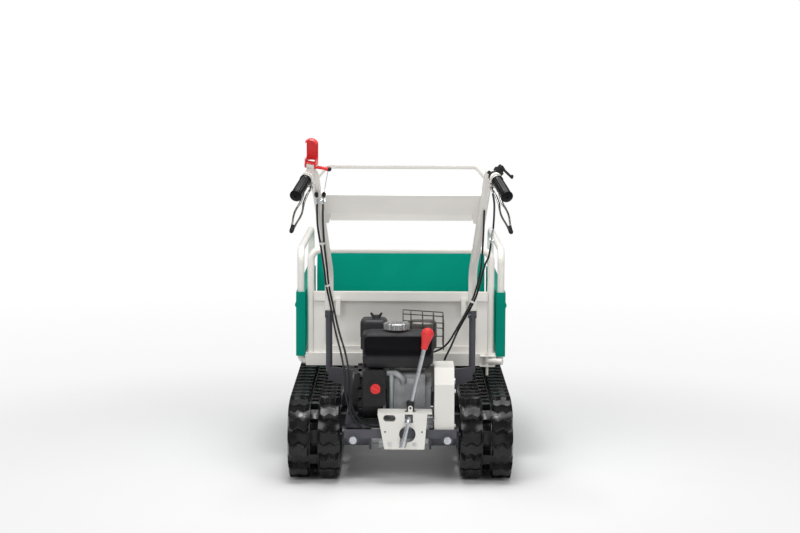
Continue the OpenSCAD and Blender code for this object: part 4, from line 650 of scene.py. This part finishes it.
def ear(hand):
    """The leg's eye: a flat plate round the pin, a ring of points and its copy across the thickness."""
    turn = np.radians(np.arange(0, 360, 15))
    ring = np.stack([10 * np.cos(turn) * np.where(np.cos(turn) < 0, 2.4, 1), 10 * np.sin(turn) - 1.2], -1)
    rings = [np.column_stack([np.full(len(ring), hand * x), ring]) for x in (7.9, 12)]
    return surface(np.array(rings))


lever = joined(splayed(joined(leg(1), leg(-1))), ear(1), ear(-1))
tip_profile = [(-12, 5), (-11, 6.6), (-2, 7.2), (6, 7.5), (11, 7), (15, 5), (16.6, 2.4)]
tip = lathe(tip_profile, [0, -166, 0], [0, -1, 0], 24)
chrome = finish("chrome_plate", (0.56, 0.545, 0.53), 0.16, metal=1.0, drift=0.08, spread=0.05, patch=50,
                tooth=8e-6)
dip = finish("dipped_vinyl", (0.014, 0.014, 0.015), 0.38, drift=0.15, patch=50)
right_legs, right_tip = at_lever(lever), at_lever(splayed(tip))
for hand, legs, end in (
    ("right", right_legs, right_tip),
    ("left", mirrored(right_legs), mirrored(right_tip)),
):
    dressed(hand + "_lever_legs", legs, chrome, hand + "_steering", [hand + "_steer_lever"],
            crease=50)
    dressed(hand + "_lever_tip", end, dip, hand + "_steering", (), crease=50)

# Clutch lever: a red moulded paddle that folds down over the left grip, on a pin through two cheeks,
# with a rounded hub over the lug and an arm whose ball end pulls the cable.
softened("clutch_lever", red, 0.001)

arc = np.radians(np.arange(16, 137, 10))[:, None]
ring = np.concatenate([r * np.hstack([np.cos(a), np.sin(a)]) for r, a in ((13.5, arc), (10.4, arc[::-1]))])
hub_rings = [np.column_stack([np.full(len(ring), x), ring]) + clutch_pin for x in (-14.6, 14.6)]
hub = mirrored(gripped(leaned(surface(np.array(hub_rings)), clutch_turn)))
dressed("clutch_hub", hub, red, "clutch", (), crease=50)

ball_r = 8
swing = np.radians(np.arange(-84, 85, 12))
ball = ball_r * np.column_stack([np.sin(swing), np.cos(swing)])
arm_end = lathe(ball, clutch_pin + [-62, 0, -4], [1, 0, 0], 24)
arm_end = mirrored(gripped(leaned(arm_end, clutch_turn)))
dressed("clutch_arm_end", arm_end, dip, "clutch", (), crease=60)

# Throttle: a moulded black housing strapped on the right handle.
# A thumb lever turns on its top, and stays where it is left.
softened("throttle_body", black_plastic, 0.0012)
softened("throttle_lever", black_plastic, 0.0012)

# Control cables: black sheathed wires from the levers down the posts to the gearbox and the carburettor.
# Each is fixed at both ends and lies in long free curves between.
clutch_route = [
    [-262, -180, 964], [-265, -100, 898], [-264, 0, 808], [-258, 96, 718], [-253, 130, 655],
    [-238, 132, 583], [-217, 105, 498], [-193, 60, 426], [-179, 10, 360], [-176, -40, 290],
    [-150, -76, 225], [-110, -84, 196], [-71, -82, 190],
]
left_steer_route = [
    [-282, -180, 964], [-284, -90, 888], [-277, 0, 808], [-268, 90, 718], [-262, 126, 655],
    [-247, 128, 583], [-229, 100, 498], [-208, 52, 426], [-193, 0, 360], [-188, -48, 290],
    [-162, -90, 222], [-116, -100, 178], [-71, -98, 165],
]
right_upper_route = [[300, -310, 1008], [308, -240, 972], [312, -150, 926], [313, -72, 874]]
right_steer_route = [
    [309, -8, 820], [304, 54, 766], [292, 98, 728],
    [272, 138, 640], [252, 140, 588], [202, 116, 500], [176, 84, 446], [156, 124, 396],
    [138, 138, 330], [124, 146, 250], [118, 146, 196],
]
throttle_route = [
    [279, -150, 940], [281, -12, 822], [279, 96, 718], [263, 132, 640], [243, 132, 588],
    [193, 106, 500], [158, 89, 450], [110, 88, 424], [40, 88, 412], [-2, 100, 410],
    [-16, 140, 410], [-26, 174, 407], [-43, 176, 407],
]


def smooth(route, steps=8):
    """A curve through a route, each span a cubic whose slope at a point runs between its two neighbours."""
    p = np.asarray(route, float)
    a, b, c, d = (p[np.clip(np.arange(len(p) - 1) + k, 0, len(p) - 1)][:, None] for k in (-1, 0, 1, 2))
    t = np.linspace(0, 1, steps, endpoint=False)[:, None]
    spans = b + t / 2 * (c - a) + t**2 * (a - 2.5 * b + 2 * c - d / 2) + t**3 / 2 * (3 * b - 3 * c + d - a)
    return np.concatenate([spans.reshape(-1, 3), p[-1:]])


cable_d = 7
lines = {}
sheath = finish("cable_sheath", (0.014, 0.014, 0.015), 0.44, drift=0.15, patch=40)
for name, nodes, route in (
    ("clutch_cable", ["control_cables"], clutch_route),
    ("left_steer_cable", [], left_steer_route),
    ("right_upper_cable", [], right_upper_route),
    ("right_steer_cable", [], right_steer_route),
    ("throttle_cable", [], throttle_route),
):
    line = lines[name] = smooth(route)
    cable = dressed(name, tube(line, cable_d / 2, 12), sheath, "chassis", nodes, crease=60)

# Cable boots and ties: soft rubber sleeves pushed over the sheaths' upper ends,
# and white nylon bands that hold each pair of sheaths together.


def tie(first, second, height):
    """A band round two cables: a short tube about the middle of both at a height, as wide as the pair."""
    a, b = (line[np.abs(line[:, 2] - height).argmin()] for line in (first, second))
    heading = unit(np.gradient(first, axis=0)[np.abs(first[:, 2] - height).argmin()])
    ends = (a + b) / 2 + np.outer([-3, 3], heading)
    return tube(ends, np.linalg.norm(a - b) / 2 + cable_d / 2 + 0.6, 24)


boot_profile = [(0, 4.8), (0, 6.4), (1, 7), (14, 7), (17, 6), (24, 3), (24, 1.4)]
boots = joined(
    lathe(boot_profile, [-259, -212, 992], [18.7, -117.4, 89.9], 20),
    lathe(boot_profile, [-282, -212, 992], [-3, -68, 44], 20),
)
dressed("cable_boots", boots, grip_rubber, "chassis", (), crease=60)
left_pair = lines["clutch_cable"], lines["left_steer_cable"]
right_pair = lines["throttle_cable"], lines["right_steer_cable"]
nylon = finish("nylon_white", (0.62, 0.62, 0.60), 0.40, drift=0.05, patch=60)
bands = joined(tie(*left_pair, 816), tie(*left_pair, 655), tie(*right_pair, 596))
dressed("cable_ties", bands, nylon, "chassis", (), 0.0004, 50)

# Cable adjusters: zinc-plated barrels with a lock nut where the sheaths begin,
# and the bare wires from them up to the levers.
softened("cable_adjusters", zinc, 0.0005)

# Load bed: a floor of folded sheet on rails and sills, hinged at the front, with a bulkhead of sheet and
# rails welded into a tube hoop, and a latch handle. All of it is coated white.
softened("bed_floor", white, 0.0015)
softened("bulkhead", white, 0.0015, 40)
softened("latch_handle", white, 0.0015)

# Side and front walls: folded sheet panels in green, which slide outward on the bars of white tube hoops.
# A thin sheet in the same green lies on the bed's floor.
green = finish("green_paint", (0.0, 0.232, 0.166), 0.34, shine=0.05, drift=0.05, spread=0.05, patch=6,
               grain=700, tooth=2.5e-5)
for node in ("left_hoop", "right_hoop"):
    softened(node, white, 0.0008, 40)
for node in ("left_panel", "right_panel", "front_panel"):
    softened(node, green, 0.002)
floor_sheet = slab([-330, 345, 390.4], [330, 1195, 392.4])
dressed("floor_sheet", floor_sheet, green, "bed", (), 0.0008)

# Floor, light and camera: a pale studio floor that passes into white away from the machine, soft lamps
# above, behind and low ahead of it, and a camera behind it.
floor_mesh = bpy.data.meshes.new("studio_floor")
floor_mesh.from_pydata([(-30, -30, 0), (30, -30, 0), (30, 30, 0), (-30, 30, 0)], [], [(0, 1, 2, 3)])
floor = bpy.data.objects.new("studio_floor", floor_mesh)
bpy.context.scene.collection.objects.link(floor)
floor_look = finish("studio_floor", (0.70, 0.70, 0.70), 0.7, drift=0.004, patch=1.5, grain=40, tooth=1e-5)
ground = floor_look.node_tree
spot = add(ground, "TexCoord").outputs["Object"]
away = add(ground, "VectorMath", {0: spot}, operation="LENGTH").outputs["Value"]
near_to_far = {"Value": away, "From Min": 0.5, "From Max": 2.4}
fade = add(ground, "MapRange", near_to_far, interpolation_type="SMOOTHSTEP").outputs["Result"]
grey_to_white = {"Value": away, "From Min": 1.5, "From Max": 5.0, "To Min": 0.92, "To Max": 1.0}
whiteness = add(ground, "MapRange", grey_to_white).outputs["Result"]
mirrored_ray = add(ground, "LightPath").outputs["Is Glossy Ray"]
dimming = add(ground, "MapRange", {"Value": mirrored_ray, "To Min": 1.0, "To Max": 0.3}).outputs["Result"]
strength = add(ground, "Math", {0: whiteness, 1: dimming}, operation="MULTIPLY").outputs[0]
floor_glow = add(ground, "Emission", {"Color": (1, 1, 1, 1), "Strength": strength}).outputs[0]
lit = ground.nodes["Principled BSDF"].outputs[0]
blend = add(ground, "MixShader", {0: fade, 1: lit, 2: floor_glow})
ground.links.new(blend.outputs[0], ground.nodes["Material Output"].inputs["Surface"])
floor_mesh.materials.append(floor_look)

world = bpy.data.worlds.new("studio")
bpy.context.scene.world = world
world.use_nodes = True
sky = world.node_tree
ray = add(sky, "LightPath").outputs
seen = add(sky, "Math", {0: ray["Is Camera Ray"], 1: ray["Is Transmission Ray"]}, operation="MAXIMUM")
unseen = add(sky, "MapRange", {"Value": ray["Is Glossy Ray"], "To Min": 0.36, "To Max": 0.13})
sky_level = add(sky, "MapRange", {"Value": seen.outputs[0], "To Min": unseen.outputs[0], "To Max": 1.0})
backdrop = sky.nodes["Background"]
sky.links.new(sky_level.outputs[0], backdrop.inputs["Strength"])
backdrop.inputs["Color"].default_value = (1, 1, 1, 1)


def lamp(name, spot, aim, size, power):
    """A soft square lamp of the given size in metres that faces the point it is aimed at."""
    light = bpy.data.lights.new(name, "AREA")
    light.size = size
    light.energy = power
    made = bpy.data.objects.new(name, light)
    bpy.context.scene.collection.objects.link(made)
    facing = np.asarray(aim, float) - spot
    made.location = spot
    pitched = math.atan2(math.hypot(facing[0], facing[1]), -facing[2])
    made.rotation_euler = (pitched, 0, math.atan2(-facing[0], facing[1]))
    return made


lamp("overhead", (0.3, 0.2, 4.2), (0, 0, 0.3), 3.5, 112)
lamp("above_rear", (-0.1, -0.75, 3.2), (-0.1, -0.5, 0.3), 0.7, 44)
lamp("behind_left", (-3.0, -4.2, 4.2), (0, -0.2, 0.5), 2.4, 88)
lamp("behind_right", (3.0, -4.6, 3.8), (0, -0.2, 0.5), 2.4, 68)
lamp("low_behind", (0, -3.4, 0.6), (0, -0.6, 0.6), 1.6, 4)
low_ahead = lamp("low_ahead", (0, 1.9, 0.2), (0, -0.5, 0.02), 0.3, 0.9)
low_ahead.data.spread = math.radians(20)
low_ahead.visible_glossy = False

camera = bpy.data.cameras.new("camera")
camera.sensor_width = 36
camera.lens = 92.5
view = bpy.data.objects.new("camera", camera)
bpy.context.scene.collection.objects.link(view)
view.location = (-0.0035, -7.434, 1.4663)
level_view = Matrix.Rotation(math.radians(90 - 5.929), 3, "X")
view.rotation_euler = (level_view @ Matrix.Rotation(math.radians(0.25), 3, "Z")).to_euler()
bpy.context.scene.camera = view
bpy.context.scene.view_settings.view_transform = "Standard"
